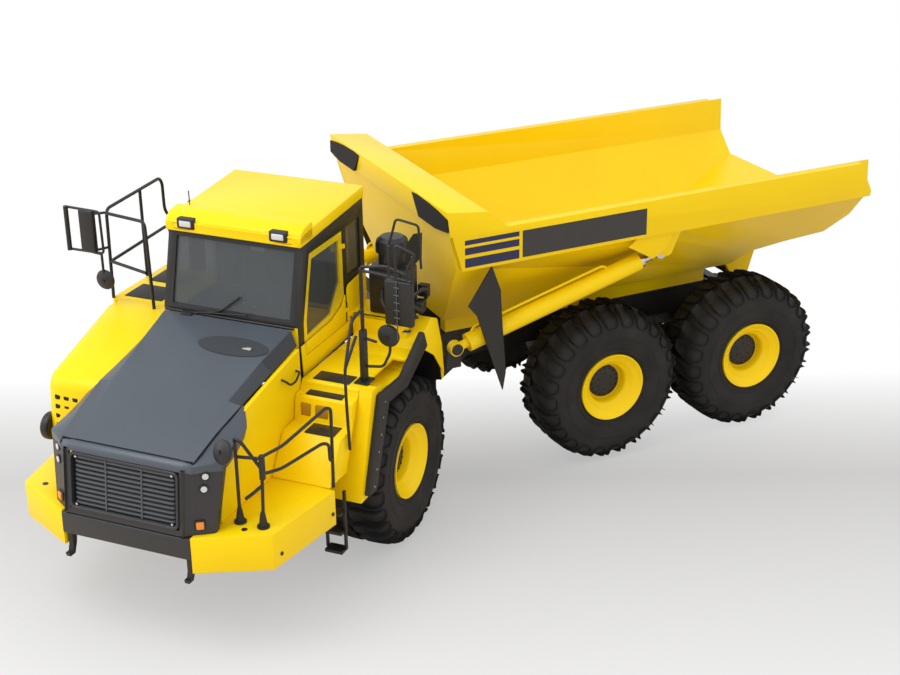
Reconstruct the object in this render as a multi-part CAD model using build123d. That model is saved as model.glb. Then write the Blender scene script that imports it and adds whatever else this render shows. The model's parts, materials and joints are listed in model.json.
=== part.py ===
from build123d import *
from math import atan2, cos, degrees, hypot, pi, radians, sin
import os

# Articulated dump truck, in millimetres and degrees.
# The steering pin is the working origin, with +X forward along the rear unit,
# +Y left and +Z up from the ground. The tractor is drawn straight ahead on the
# same axes and then turned left about the steering pin.

# Stance
steer_rest = 41.0
steer_lock = 45.0
clear = 0.3
slide = 0.5

# Wheels: all six are alike
tyre_radius = 930.0
tyre_width = 750.0
carcass_radius = 888.0
sidewall_radius = 690.0
bead_radius = 397.0
bead_width = 580.0
lug_count = 20
lug_length = 140.0
lug_shoulder = 110.0
rim_flange_radius = 412.0
rim_flange_y = 340.0
rim_cone_radius = 300.0
rim_cone_y = 255.0
hub_radius = 197.0
hub_face_y = 150.0
hub_back_y = -70.0
disc_face_y = 110.0
disc_thickness = 40.0
spindle_radius = 90.0
spindle_depth = 120.0

# Axles
tread = 2690.0
axle_height = 930.0
front_axle_x = 1545.0
mid_axle_x = -2805.0
rear_axle_x = -4775.0
axle_tube_radius = 165.0
diff_radius = 250.0

# Hitch between the two frames
hitch_height = 1050.0
column_radius = 125.0
column_half = 250.0
ear_thickness = 60.0
ear_radius = 175.0
king_pin_radius = 85.0
drum_radius = 240.0
drum_front_x = -300.0
drum_rear_x = -520.0
spigot_radius = 150.0
spigot_length = 160.0
arm_plate = 22.0

# Steering cylinders, one each side above the hitch
steer_height = hitch_height + 405.0
steer_base_x = 1250.0
steer_base_y = 430.0
steer_eye_x = -350.0
steer_eye_y = 460.0
steer_barrel_radius = 62.0
steer_neck = 60.0
steer_bottom = 110.0
steer_margin = 20.0
steer_barrel_length = 900.0
steer_rod_radius = 36.0
steer_eye_radius = 66.0
steer_eye_thickness = 76.0
steer_pin_radius = 30.0

# Rear frame
rail_inner = 370.0
rail_width = 110.0
rail_top = 1500.0
rail_bottom = 1150.0
rail_front_x = -700.0
rail_front_z = 1300.0
rail_rise_x = -1250.0
tip_x = -5330.0
tip_z = 1500.0
tip_pin_radius = 60.0
tip_ear_radius = 130.0
beam_depth = 150.0
tow_x = -5480.0
tow_z = 1175.0
tow_gap = 50.0
tow_plate = 30.0
tow_radius = 25.0
equalizer_y = 690.0

# Hoist cylinders, one each side
hoist_inset = 176.0
hoist_foot_x = -850.0
hoist_foot_z = 1760.0
hoist_eye_x = -3500.0
hoist_eye_z = 2450.0
hoist_barrel_radius = 105.0
hoist_barrel_length = 2440.0
hoist_rod_radius = 48.0
hoist_end_radius = 82.0
hoist_pin_radius = 45.0
hoist_lug_width = 100.0
hoist_sleeve_radius = 78.0
hoist_sleeve_end = 2490.0
hoist_bottom = 260.0
hoist_margin = 40.0

# Dump body
rail_z = 3163.0
side_rail_depth = 432.0
body_half = 1666.0
wall = 22.0
knuckle_z = 2735.0
knuckle_half = body_half - 88.0
floor_half = 800.0
floor_z = 1800.0
hoist_y = body_half - hoist_inset
body_front_x = -742.0
wall_foot_x = -1042.0
tail_x = -6426.0
floor_kick_x = -5007.0
inner_kick_x = -4700.0
floor_tail_z = 2103.0
sill_half = 425.0
sill_width = 130.0
guard_top_z = 3430.0
guard_front_x = -690.0
guard_rear_x = -1177.0
guard_foot_x = -1425.0

# Tractor sheet metal
cab_half = 790.0
cab_rear_x = 740.0
cab_front_x = 2300.0
cab_floor_z = 2080.0
cab_sill_z = 2640.0
cab_wall = 50.0
cab_screen_top_x = 2085.0
cab_top_front_z = 3455.0
cab_top_rear_z = 3545.0
window_sill_z = 2700.0
door_front_x = 2170.0
door_rear_x = 1250.0
door_bottom_z = 2300.0
door_gap = 6.0
door_pin_x = 1246.0
door_pin_y = 806.0
door_knuckle = 13.0
door_hinges = (2420.0, 3150.0)
door_open = 75.0
glass = 8.0
hood_half = 750.0
hood_side_half = 800.0
hood_plate = 30.0
hood_rear_x = 2360.0
hood_rear_z = 2640.0
hood_front_x = 4290.0
hood_front_z = 2080.0
hinge_y = 400.0
hinge_z = 2078.0
hinge_radius = 13.0
hood_open = 60.0
wing_top_z = 1345.0
wing_bottom_z = 960.0
wing_plate = 30.0
wing_inner = 850.0
bumper_front_x = 4465.0
bumper_half = 720.0
fender_half = 1650.0
fender_inner = 880.0
fender_plate = 55.0
flare_half = 1722.0
deck_z = 2130.0
deck_high_z = 2540.0
tube = 19.0


def side(points, y0, y1):
    """A closed outline in side view, (x, z), carried from y0 to y1."""
    face = make_face(Polyline(*[(x, y0, z) for x, z in points], close=True))
    return extrude(face, amount=y1 - y0, dir=(0, 1, 0))


def plan(points, z0, z1):
    """A closed outline seen from above, (x, y), carried from z0 to z1."""
    face = make_face(Polyline(*[(x, y, z0) for x, y in points], close=True))
    return extrude(face, amount=z1 - z0, dir=(0, 0, 1))


def across(points, x0, x1):
    """A closed outline in front view, (y, z), carried from x0 to x1."""
    face = make_face(Polyline(*[(x0, y, z) for y, z in points], close=True))
    return extrude(face, amount=x1 - x0, dir=(1, 0, 0))


def block(x0, x1, y0, y1, z0, z1):
    """A box between two corners."""
    return Pos((x0 + x1) / 2, (y0 + y1) / 2, (z0 + z1) / 2) * Box(x1 - x0, y1 - y0, z1 - z0)


def rod(p, q, radius):
    """A round bar from p to q."""
    start = Vector(*p)
    run = Vector(*q) - start
    return Part() + Solid.make_cylinder(radius, run.length, Plane(origin=start, z_dir=run))


def rail(points, radius=tube, bend=70.0):
    """A bent tube through the points."""
    path = FilletPolyline(*points, radius=bend)
    return sweep(Plane(origin=path @ 0, z_dir=path % 0) * Circle(radius), path)


def both(shape):
    """The shape and its mirror image on the other side of the truck."""
    return [shape, mirror(shape, about=Plane.XZ)]


# Lamps, each a row of x, y, z, depth, width and height, alike on both sides
roof_lamps = [(2145, 600, 3506, 50, 190, 66)]
nose_lamps = [(4385, 708, 1860, 80, 90, 130), (4412, 708, 1640, 80, 90, 130), (4430, 745, 1449, 60, 60, 70)]


# Tyre: a carcass of flat facets with staggered lugs, rolling about Y.
def tyre():
    half = tyre_width / 2
    sections = [
        (-bead_width / 2, bead_radius + 30),
        (-half, sidewall_radius),
        (-half + 45, carcass_radius),
        (half - 45, carcass_radius),
        (half, sidewall_radius),
        (bead_width / 2, bead_radius + 30),
    ]
    step = 360 / lug_count
    turn = Rot(0, step / 2, 0)
    faces = [turn * (Plane(origin=(0, y, 0), z_dir=(0, 1, 0)) * RegularPolygon(r, lug_count)) for y, r in sections]
    carcass = loft(faces, ruled=True)
    bore = (bead_radius + clear) / cos(pi / lug_count)
    carcass -= turn * extrude(Plane(origin=(0, -half, 0), z_dir=(0, 1, 0)) * RegularPolygon(bore, lug_count), tyre_width)
    lug = across(
        [(18, carcass_radius - 40), (18, tyre_radius), (half - 50, tyre_radius), (half, tyre_radius - lug_shoulder),
         (half, sidewall_radius + 60), (half - 40, sidewall_radius + 60)],
        -lug_length / 2, lug_length / 2)
    left = [Rot(0, step * i, 0) * lug for i in range(lug_count)]
    right = [Rot(0, step * (i + 0.5), 0) * mirror(lug, about=Plane.XZ) for i in range(lug_count)]
    return carcass + left + right


# Wheel: rim, conical dish, disc and hub as one turned form, outer face at +Y.
def wheel():
    back = -bead_width / 2 - 15
    profile = Polyline(
        (0, hub_face_y), (hub_radius, hub_face_y), (hub_radius + 12, disc_face_y), (rim_cone_radius - 10, disc_face_y),
        (rim_cone_radius, rim_cone_y), (rim_flange_radius - 14, rim_flange_y), (rim_flange_radius, rim_flange_y - 10),
        (rim_flange_radius, bead_width / 2 + 10), (bead_radius, bead_width / 2 + 10), (bead_radius, back),
        (bead_radius - 22, back), (bead_radius - 22, disc_face_y - disc_thickness), (hub_radius + 12, disc_face_y - disc_thickness),
        (hub_radius, hub_back_y), (0, hub_back_y), close=True)
    turned = revolve(Plane.XY * make_face(profile), axis=Axis.Y)
    socket = rod((0, hub_back_y, 0), (0, hub_back_y + spindle_depth, 0), spindle_radius + slide)
    return turned - socket


# Axle: tube, differential housing and a spindle for the wheel at each end.
def axle(x):
    hub_y = tread / 2 + hub_back_y - slide
    pin_y = hub_y + spindle_depth - 20
    housing = rod((x, -hub_y, axle_height), (x, hub_y, axle_height), axle_tube_radius)
    pins = rod((x, -pin_y, axle_height), (x, pin_y, axle_height), spindle_radius)
    diff = Pos(x, 0, axle_height) * Sphere(diff_radius)
    flange = [rod((x, s * (hub_y - 60), axle_height), (x, s * hub_y, axle_height), hub_radius - 20) for s in (-1, 1)]
    return housing + [pins, diff] + flange


def rail_line(x):
    """The height of the rail's top where it rises from the front end."""
    return rail_front_z + (rail_front_x - x) * (rail_top - rail_front_z) / (rail_front_x - rail_rise_x)


# Rear frame: two box rails, cross members, the hitch ring and the hoist beam.
def rear_frame():
    half = rail_inner + rail_width
    outline = [(rail_front_x, 900), (rail_front_x, rail_front_z), (rail_rise_x, rail_top), (tip_x + 500, rail_top), (tip_x - 60, tip_z - 150),
           (tip_x - 60, rail_bottom), (-1500, rail_bottom), (-1150, 900)]
    frame = side(outline, rail_inner, half) + side(outline, -half, -rail_inner)
    for x in (-760, -1800, (mid_axle_x + rear_axle_x) / 2, tip_x):
        frame += block(x - 60, x + 60, -rail_inner, rail_inner, rail_bottom + 20, rail_bottom + 140)
    ring = rod((drum_rear_x - slide, 0, hitch_height), (rail_front_x, 0, hitch_height), drum_radius + 60)
    ring -= rod((drum_rear_x, 0, hitch_height), (drum_rear_x - spigot_length - 10, 0, hitch_height), spigot_radius + slide)
    head = block(rail_front_x - 60, rail_front_x, -half, half, 900, 1300)
    ears = []
    for s in (-1, 1):
        y = s * (half - 20)
        ears.append(rod((tip_x, y - 20, tip_z), (tip_x, y + 20, tip_z), tip_ear_radius - 30))
        ears.append(block(tip_x - 60, tip_x + 120, y - 20, y + 20, rail_bottom + 20, tip_z))
    tip_pin = rod((tip_x, -half - 110, tip_z), (tip_x, half + 110, tip_z), tip_pin_radius)
    hangers = []
    for s in (-1, 1):
        centre = (mid_axle_x + rear_axle_x) / 2
        hangers.append(side([(centre - 160, rail_bottom), (centre + 160, rail_bottom), (centre + 90, 850), (centre - 90, 850)],
                            s * half - (0 if s > 0 else 60), s * half + (60 if s > 0 else 0)))
        hangers.append(block(centre - 160, centre + 160, min(s * (half - 30), s * (half + 60)), max(s * (half - 30), s * (half + 60)),
                             rail_bottom - 1, rail_bottom + 120))
        hangers.append(rod((centre, s * (half + 20), 930), (centre, s * (equalizer_y + 70), 930), 60))
    return frame + [ring, head, tip_pin] + ears + hangers


# Tow clevis: two plates on the rear cross member with a hole for the tow pin.
def tow_clevis():
    clevis = [block(tow_x - 60, tip_x - 60, -90, 90, z, z + tow_plate) for z in (tow_z, tow_z + tow_gap + tow_plate)]
    clevis.append(block(tip_x - 80, tip_x - 60, -90, 90, tow_z - 20, tow_z + 120))
    bore = rod((tow_x, 0, tow_z - 1), (tow_x, 0, tow_z + tow_gap + 2 * tow_plate + 1), tow_radius)
    return clevis[0] + clevis[1:] - bore


# Hoist beam across the frame, with the cylinders' feet and pins at its ends.
def hoist_beam():
    half = rail_inner + rail_width
    beam_top = hoist_foot_z - hoist_end_radius - 40
    beam_y = hoist_y - hoist_lug_width / 2 - 12
    beam = block(hoist_foot_x - 100, hoist_foot_x + 80, -beam_y, beam_y, beam_top - beam_depth, beam_top)
    low = [(x, rail_line(x)) for x in (hoist_foot_x + 80, hoist_foot_x - 100)]
    saddle = [side([(hoist_foot_x - 100, beam_top - beam_depth), (hoist_foot_x + 80, beam_top - beam_depth)] + low,
                   s * (rail_inner + rail_width / 2) - 55, s * (rail_inner + rail_width / 2) + 55) for s in (-1, 1)]
    foot = side([(hoist_foot_x - 100, beam_top - beam_depth), (hoist_foot_x + 80, beam_top - beam_depth),
                 (hoist_foot_x + 60, hoist_foot_z + 55), (hoist_foot_x - 60, hoist_foot_z + 55)], beam_y - 40, beam_y)
    pin = rod((hoist_foot_x, beam_y - 20, hoist_foot_z), (hoist_foot_x, hoist_y + hoist_lug_width / 2 + 15, hoist_foot_z),
              hoist_pin_radius)
    cap = rod((hoist_foot_x, hoist_y + hoist_lug_width / 2 + slide, hoist_foot_z),
              (hoist_foot_x, hoist_y + hoist_lug_width / 2 + 15, hoist_foot_z), hoist_pin_radius + 20)
    return beam + saddle + both(foot) + both(pin) + both(cap)


# Equalizer beams: one rocker each side between the two rear axles.
def equalizer_beams():
    centre = (mid_axle_x + rear_axle_x) / 2
    reach = (mid_axle_x - rear_axle_x) / 2
    seat = axle_height + axle_tube_radius + clear
    outline = [(centre - reach - 110, seat), (centre - reach - 110, seat + 60), (centre - 150, 1060), (centre + 150, 1060),
               (centre + reach + 110, seat + 60), (centre + reach + 110, seat), (centre + reach - 150, seat),
               (centre + 150, 800), (centre - 150, 800), (centre - reach + 150, seat)]
    beam = side(outline, equalizer_y - 60, equalizer_y + 60)
    beam -= rod((centre, equalizer_y - 61, 930), (centre, equalizer_y + 61, 930), 60 + slide)
    return both(beam)


# Hitch: a column on the steering pin, the drum of the rolling joint and the arms.
def hitch():
    column = rod((0, 0, hitch_height - column_half), (0, 0, hitch_height + column_half), column_radius)
    pin = rod((0, 0, hitch_height - column_half - ear_thickness - 12), (0, 0, hitch_height + column_half + ear_thickness + 12),
              king_pin_radius)
    neck = block(drum_front_x - 20, 0, -110, 110, hitch_height - 190, hitch_height + 190)
    drum = rod((drum_front_x, 0, hitch_height), (drum_rear_x, 0, hitch_height), drum_radius)
    spigot = rod((drum_rear_x + 20, 0, hitch_height), (drum_rear_x - spigot_length, 0, hitch_height), spigot_radius)
    low = steer_height - steer_eye_thickness / 2 - 5 - arm_plate
    high = steer_height + steer_eye_thickness / 2 + 5
    reach = steer_eye_y + 130
    arm = [(steer_eye_x - 110, -200), (steer_eye_x - 110, -reach), (steer_eye_x + 90, -reach), (steer_eye_x + 90, -200),
           (steer_eye_x + 90, 200), (steer_eye_x + 90, reach), (steer_eye_x - 110, reach), (steer_eye_x - 110, 200)]
    plates = [plan(arm, low, low + arm_plate), plan(arm, high, high + arm_plate)]
    post = block(steer_eye_x - 110, steer_eye_x + 50, -190, 190, hitch_height + 150, high + arm_plate)
    return column + [pin, neck, drum, spigot, post] + plates


def turned_back(x, y):
    """Where a point of the rear unit lies in the tractor's axes."""
    a = radians(-steer_rest)
    return (x * cos(a) - y * sin(a), x * sin(a) + y * cos(a))


# Steering barrel and rod in the tractor's axes, side is 1 left and -1 right.
def steering_line(side_sign):
    base = (steer_base_x, side_sign * steer_base_y)
    eye = turned_back(steer_eye_x, side_sign * steer_eye_y)
    length = hypot(eye[0] - base[0], eye[1] - base[1])
    unit = ((eye[0] - base[0]) / length, (eye[1] - base[1]) / length)
    return base, eye, unit, length


def shortest_line():
    """The cylinder's length on the inside of the tightest turn."""
    a = radians(-steer_lock)
    eye = (steer_eye_x * cos(a) - steer_eye_y * sin(a), steer_eye_x * sin(a) + steer_eye_y * cos(a))
    return hypot(eye[0] - steer_base_x, eye[1] - steer_base_y)


def on_line(base, unit, distance, height=0.0):
    return (base[0] + unit[0] * distance, base[1] + unit[1] * distance, steer_height + height)


def steering_barrel(side_sign):
    base, eye, unit, length = steering_line(side_sign)
    half = steer_eye_thickness / 2
    barrel = rod(on_line(base, unit, steer_neck), on_line(base, unit, steer_barrel_length), steer_barrel_radius)
    knuckle = rod(on_line(base, unit, 0, -half), on_line(base, unit, 0, half), steer_eye_radius)
    bore = rod(on_line(base, unit, steer_bottom), on_line(base, unit, steer_barrel_length + 1), steer_rod_radius + slide)
    hole = rod(on_line(base, unit, 0, -half - 1), on_line(base, unit, 0, half + 1), steer_pin_radius + slide)
    return barrel + knuckle - bore - hole


def steering_rod(side_sign):
    base, eye, unit, length = steering_line(side_sign)
    half = steer_eye_thickness / 2
    inside = steer_bottom + steer_margin + length - shortest_line()
    bar = rod(on_line(base, unit, inside), on_line(base, unit, length), steer_rod_radius)
    knuckle = rod(on_line(base, unit, length, -half), on_line(base, unit, length, half), steer_eye_radius)
    return bar + knuckle


# Front frame: rails, the ears round the hitch, cross beams and cab posts.
def front_frame():
    inner, outer = 260, 360
    outline = [(300, 990), (300, 1300), (4230, 1300), (4230, 1060), (2300, 1060), (2100, 1130), (1050, 1130), (850, 990)]
    frame = side(outline, inner, outer) + side(outline, -outer, -inner)
    top = hitch_height + column_half + slide
    low = hitch_height - column_half - slide
    ear = plan([(0, -ear_radius), (420, -outer), (520, -outer), (520, outer), (420, outer), (0, ear_radius)], 0, ear_thickness)
    ear += rod((0, 0, 0), (0, 0, ear_thickness), ear_radius)
    ear -= rod((0, 0, -1), (0, 0, ear_thickness + 1), king_pin_radius + slide)
    head = block(430, 520, -outer, outer, low - ear_thickness, top + ear_thickness)
    frame += [Pos(0, 0, top) * ear, Pos(0, 0, low - ear_thickness) * ear, head]
    for x in (1150, 2500, 4170):
        frame += block(x - 50, x + 50, -inner, inner, 1160, 1290)
    anchor_low = steer_height - steer_eye_thickness / 2 - slide
    for s in (-1, 1):
        y = s * steer_base_y
        frame += block(steer_base_x - 20, steer_base_x + 110, min(s * 300, s * 520), max(s * 300, s * 520), 1180, anchor_low)
        frame += rod((steer_base_x, y, anchor_low - 40), (steer_base_x, y, steer_height + steer_eye_thickness / 2 + 12),
                     steer_pin_radius)
    # Cross beams under the cab and out to the wings
    frame += block(700, 820, -760, 760, 1170, 1290)
    frame += [block(700, 820, s * 700 - 55, s * 700 + 55, 1290, 1990) for s in (-1, 1)]
    frame += block(690, 830, -fender_inner + clear, fender_inner - clear, 1960, cab_floor_z - clear)
    frame += block(2664, 2764, -1280, 1280, 1180, 1290)
    frame += block(3950, 4050, -1200, 1200, 1180, 1290)
    return frame


# Front axle with short struts up to the rails.
def front_axle():
    struts = [rod((front_axle_x, s * 310, axle_height + 100), (front_axle_x, s * 310, 1130 - clear), 48) for s in (-1, 1)]
    return axle(front_axle_x) + struts


def engine_block():
    return block(2720, 3950, -400, 400, 1300 + clear, 2040)


# Hood: a folded plate that falls to the nose, with turned-down sides.
def hood_line(x):
    run = (hood_rear_x - x) / (hood_rear_x - hood_front_x)
    return hood_rear_z + (hood_front_z - hood_rear_z) * run + 90 * run * (1 - run) * 2


def hood_form(offset):
    stations = (hood_rear_x, 2900, 3500, 4000, hood_front_x)
    top = [(x, hood_line(x) - offset) for x in stations]
    return top


def hood():
    top = hood_form(0)
    low = [(x, z - hood_plate) for x, z in reversed(top)]
    plate = side(top + low, -hood_half, hood_half)
    lip_top = [(x, z - 2) for x, z in top]
    lip_low = [(x, z - 150) for x, z in reversed(top)]
    lip = side(lip_top + lip_low, hood_half - 30, hood_half)
    knuckles = []
    for s in (-1, 1):
        ends = (s * (hinge_y - 50), s * hinge_y)
        knuckle = rod((hood_front_x + 4, ends[0], hinge_z), (hood_front_x + 4, ends[1], hinge_z), hinge_radius)
        knuckle += block(hood_front_x - 20, hood_front_x + 4, min(ends), max(ends), hinge_z - 25, hinge_z)
        knuckles.append(knuckle)
    panel = plate + both(lip)
    for s in (-1, 1):
        ends = (s * hinge_y, s * (hinge_y + 51))
        panel -= block(hood_front_x - 14, hood_front_x + 1, min(ends), max(ends), hinge_z - 60, hinge_z + 60)
    panel = panel + knuckles
    for s in (-1, 1):
        panel -= rod((hood_front_x + 4, s * (hinge_y - 51), hinge_z), (hood_front_x + 4, s * (hinge_y + 1), hinge_z), 6.3)
    return panel


# Nose: the dark surround of the grille with its cheeks.
def nose():
    front = bumper_front_x
    low = wing_top_z + clear
    outline = [(hood_front_x + 8, low), (front - 15, low), (front - 95, 1993), (front - 120, 2060), (hood_front_x + 8, 2058)]
    shell = side(outline, -hood_side_half, hood_side_half)
    inner = side([(hood_front_x - 10, 1380), (front - 70, 1380), (front - 150, 1990), (hood_front_x - 10, 2035)],
                 -hood_side_half + 40, hood_side_half - 40)
    shell -= inner
    shell -= block(hood_front_x + 20, front + 100, -620, 620, 1400, 1985)
    cheek = side([(4090, low), (hood_front_x + 9, low), (hood_front_x + 9, 2000), (3950, 2060), (3900, 1800)],
                 hood_side_half - 40, hood_side_half)
    for s in (-1, 1):
        ends = (s * (hinge_y - 51), s * (hinge_y + clear))
        shell -= block(hood_front_x - 30, hood_front_x + 26, min(ends), max(ends), 2020, 2120)
        shell += rod((hood_front_x + 4, s * (hinge_y + clear), hinge_z), (hood_front_x + 4, s * (hinge_y + 50), hinge_z), hinge_radius)
        shell += rod((hood_front_x + 4, s * (hinge_y - 45), hinge_z), (hood_front_x + 4, s * (hinge_y + 20), hinge_z), 6)
        shell += block(hood_front_x + 4, hood_front_x + 40, min(s * (hinge_y + clear), s * (hinge_y + 50)),
                       max(s * (hinge_y + clear), s * (hinge_y + 50)), 2040, hinge_z)
    shell = shell + both(cheek)
    for box in lamp_pockets(nose_lamps, clear):
        shell -= box
    return shell


# Grille: curved slats in a frame with two upright dividers.
def grille():
    lean = (1993 - 1394) / 85
    pieces = [block(4330, 4348, -612, -560, 1406, 1980)]
    count = 11
    for i in range(count):
        z = 1440 + i * 49
        x = bumper_front_x - 30 - (z - 1394) / lean
        pieces.append(block(x - 45, x, -620 + clear, 620 - clear, z - 9, z + 9))
    uprights = [side([(bumper_front_x - 120, 1408), (bumper_front_x - 40, 1408), (bumper_front_x - 118, 1978),
                      (bumper_front_x - 190, 1978)], y - 12, y + 12) for y in (-600, -200, 200, 600)]
    return uprights[0] + uprights[1:] + pieces[1:]


# Bumper: the dark centre beam between the wings.
def bumper_beam():
    outline = [(4235, 1110), (bumper_front_x, 1110), (bumper_front_x - 5, wing_top_z - 12), (4235, wing_top_z - 12)]
    return side(outline, -bumper_half, bumper_half)


# Bumper wing: a box with a sloping front, open below.
def bumper_wing():
    outline = [(bumper_front_x - 15, bumper_half + clear), (4100, 1410), (3104, 1565), (3060, 1000), (3060, wing_inner),
               (4220, wing_inner), (4220, bumper_half + clear)]
    wing = plan(outline, wing_bottom_z, wing_top_z)
    inner = [(bumper_front_x - 60, bumper_half + 60), (4080, 1370), (3140, 1520), (3100, 1010), (3100, 890),
             (4250, 890), (4250, bumper_half + 60)]
    wing -= plan(inner, wing_bottom_z - 1, wing_top_z - wing_plate)
    wing -= block(3900, 4100, 800, 1260, 1170, 1300)
    return wing


# Left side of the engine bay, from the nose to the steps.
def side_panel_left():
    outline = [(2390, 1290 + clear), (4085, 1290 + clear), (3890, 1800), (3930, 2060),
               (3500, hood_line(3500) - 30), (2390, hood_line(2390) - 40)]
    panel = side(outline, hood_side_half + clear, wing_inner - clear)
    panel += side([(2390, hood_line(2390) - 70), (3900, hood_line(3900) - 60), (3900, hood_line(3900) - 90), (2390, hood_line(2390) - 110)],
                  hood_half + 5, hood_side_half + 10)
    return panel


# Right cover: the big rounded cover ahead of the right deck.
def cover_right():
    outline = [(3660, wing_top_z + clear), (3600, 2187), (3512, 2301), (2230, deck_high_z), (2060, deck_high_z),
               (2060, 2170), (2390, 2145), (2425, 2060), (2625, wing_top_z + clear)]
    y0, y1 = -1560, -hood_side_half - clear
    cover = side(outline, y0, y1)
    inner = [(3610, wing_top_z - 1), (3555, 2170), (3490, 2255), (2230, deck_high_z - 50), (2000, deck_high_z - 50),
             (2000, 2100), (2440, 2100), (2585, wing_top_z - 1)]
    cover -= side(inner, y0 + 40, y1 - 40)
    for i in range(5):
        z = 1500 + i * 110
        cover -= block(3450, 3700, -1440, -1180, z, z + 55)
    deck = block(860, 2060 - clear, -1600, -hood_side_half - clear, deck_high_z - 40, deck_high_z)
    skirt = side([(900, 2420), (1543, 2060), (2060 - clear, 2060), (2060 - clear, deck_high_z - 40), (900, deck_high_z - 40)],
                 -1600, -1570)
    return [cover, deck + skirt]


# Fender: an arch band over the front wheel with a leg ahead of it.
def fender():
    outer = [(2714, 1010), (2402, 2060), (2377, 2115), (2283, 2130), (1891, 1985), (1543, 1991), (933, 2356), (776, 2294),
             (657, 1866), (595, 1510)]
    inner = [(645, 1510), (705, 1850), (815, 2240), (925, 2290), (1500, 1935), (1900, 1925), (2240, 2050), (2540, 1010)]
    band = side(outer + inner, fender_inner, fender_half)
    return band


def flare():
    outer = [(2650, 1065), (2300, 2050), (1760, 2035), (1080, 2420), (940, 2365), (820, 1948), (757, 1583)]
    inner = [(800, 1583), (880, 1930), (990, 2300), (1080, 2340), (1720, 1975), (2240, 1985), (2590, 1065)]
    lift = 0
    pts = [(x, z + lift) for x, z in outer] + [(x, z + lift) for x, z in inner]
    return side(pts, fender_half + clear, flare_half)


# Left deck with the steps down to the wing.
def access_steps():
    deck = block(1560, 2300, hood_side_half + 50, 1500, deck_z + clear, deck_z + 30)
    rear_deck = block(780, 1080, hood_side_half + 5, 1500, 2356 + clear, 2394 + clear)
    stringers = []
    for y in (1040, 1500):
        stringers.append(side([(2290, deck_z + 30), (2400, deck_z + 30), (3120, wing_top_z + 60), (3120, wing_top_z + clear),
                               (3070, wing_top_z + clear), (2440, 2080), (2400, deck_z + clear), (2290, deck_z + clear)], y, y + 25))
    treads = [block(2480 + 200 * i, 2700 + 200 * i, 1065 - clear, 1500 + clear, 1960 - 190 * i, 1980 - 190 * i) for i in range(3)]
    hanging = []
    hanging.append(block(2764 + clear, 2900, 1200, 1520, 1180, 1210))
    for y in (1290, 1500):
        hanging.append(block(2800, 2825, y, y + 20, 470, 1180))
    for z in (480, 700, 920):
        hanging.append(block(2760, 2900, 1310, 1500, z, z + 30))
    return [deck + stringers[0] + stringers[1] + treads, rear_deck, hanging[0] + hanging[1:]]


# Cab shell with its window and door openings.
def cab_outline(inset):
    return [(cab_rear_x + inset, cab_floor_z + inset), (cab_rear_x + inset, cab_top_rear_z - inset * 1.0),
            (cab_screen_top_x - inset * 1.2, cab_top_front_z - inset), (cab_front_x - inset, cab_sill_z),
            (cab_front_x - inset, cab_floor_z + inset)]


def door_outline(gap):
    lean = (cab_front_x - cab_screen_top_x) / (cab_top_front_z - cab_sill_z)
    top = cab_top_front_z - 110 - gap
    front = door_front_x - gap
    knee = cab_sill_z
    return [(door_rear_x + gap, door_bottom_z + gap), (front, door_bottom_z + gap), (front, knee),
            (front - lean * (top - knee), top), (door_rear_x + gap, top)]


def quarter_outline(gap):
    return [(cab_rear_x + 100 + gap, 2790 + gap), (door_rear_x - 90 - gap, 2790 + gap), (door_rear_x - 90 - gap, cab_top_front_z - 110 - gap),
            (cab_rear_x + 100 + gap, cab_top_front_z - 90 - gap)]


def cab_shell():
    shell = side(cab_outline(0), -cab_half, cab_half)
    shell -= side(cab_outline(cab_wall), -cab_half + cab_wall, cab_half - cab_wall)
    shell -= block(2000, 2500, -690, 690, window_sill_z, cab_top_front_z - 70)
    shell -= block(cab_rear_x - 50, cab_rear_x + 60, -620, 620, 2760, 3420)
    shell -= side(door_outline(0), cab_half - cab_wall - 1, cab_half + 1)
    shell -= side(quarter_outline(0), cab_half - cab_wall - 1, cab_half + 1)
    shell -= side(door_outline(40)[0:0] + [(1250, 2560), (2130, 2560), (2130, 2660), (1960, 3330), (1250, 3330)],
                  -cab_half - 1, -cab_half + cab_wall + 1)
    for z in door_hinges:
        shell += rod((door_pin_x, door_pin_y, z + 50 + clear), (door_pin_x, door_pin_y, z + 100), door_knuckle)
        shell += rod((door_pin_x, door_pin_y, z + 5), (door_pin_x, door_pin_y, z + 60), 6)
        shell += block(door_pin_x - 25, door_pin_x, cab_half - 5, door_pin_y + 4, z + 50 + clear, z + 100)
    return shell


def cab_glass():
    lean = (cab_front_x - cab_screen_top_x) / (cab_top_front_z - cab_sill_z)
    z0, z1 = window_sill_z + clear, cab_top_front_z - 70 - clear
    x0 = cab_front_x - (z0 - cab_sill_z) * lean - 30
    x1 = cab_front_x - (z1 - cab_sill_z) * lean - 30
    y = 690 - clear
    screen = side([(x0, z0), (x1, z1), (x1 + glass, z1), (x0 + glass, z0)], -y, y)
    rear = block(cab_rear_x + 20, cab_rear_x + 20 + glass, -620 + clear, 620 - clear, 2760 + clear, 3420 - clear)
    right = side([(1250 + clear, 2560 + clear), (2130 - clear, 2560 + clear), (2130 - clear, 2660), (1960 - clear, 3330 - clear),
                  (1250 + clear, 3330 - clear)], -cab_half + 20, -cab_half + 20 + glass)
    quarter = side(quarter_outline(clear), cab_half - 30, cab_half - 30 + glass)
    return [screen, rear, right, quarter]


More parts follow.
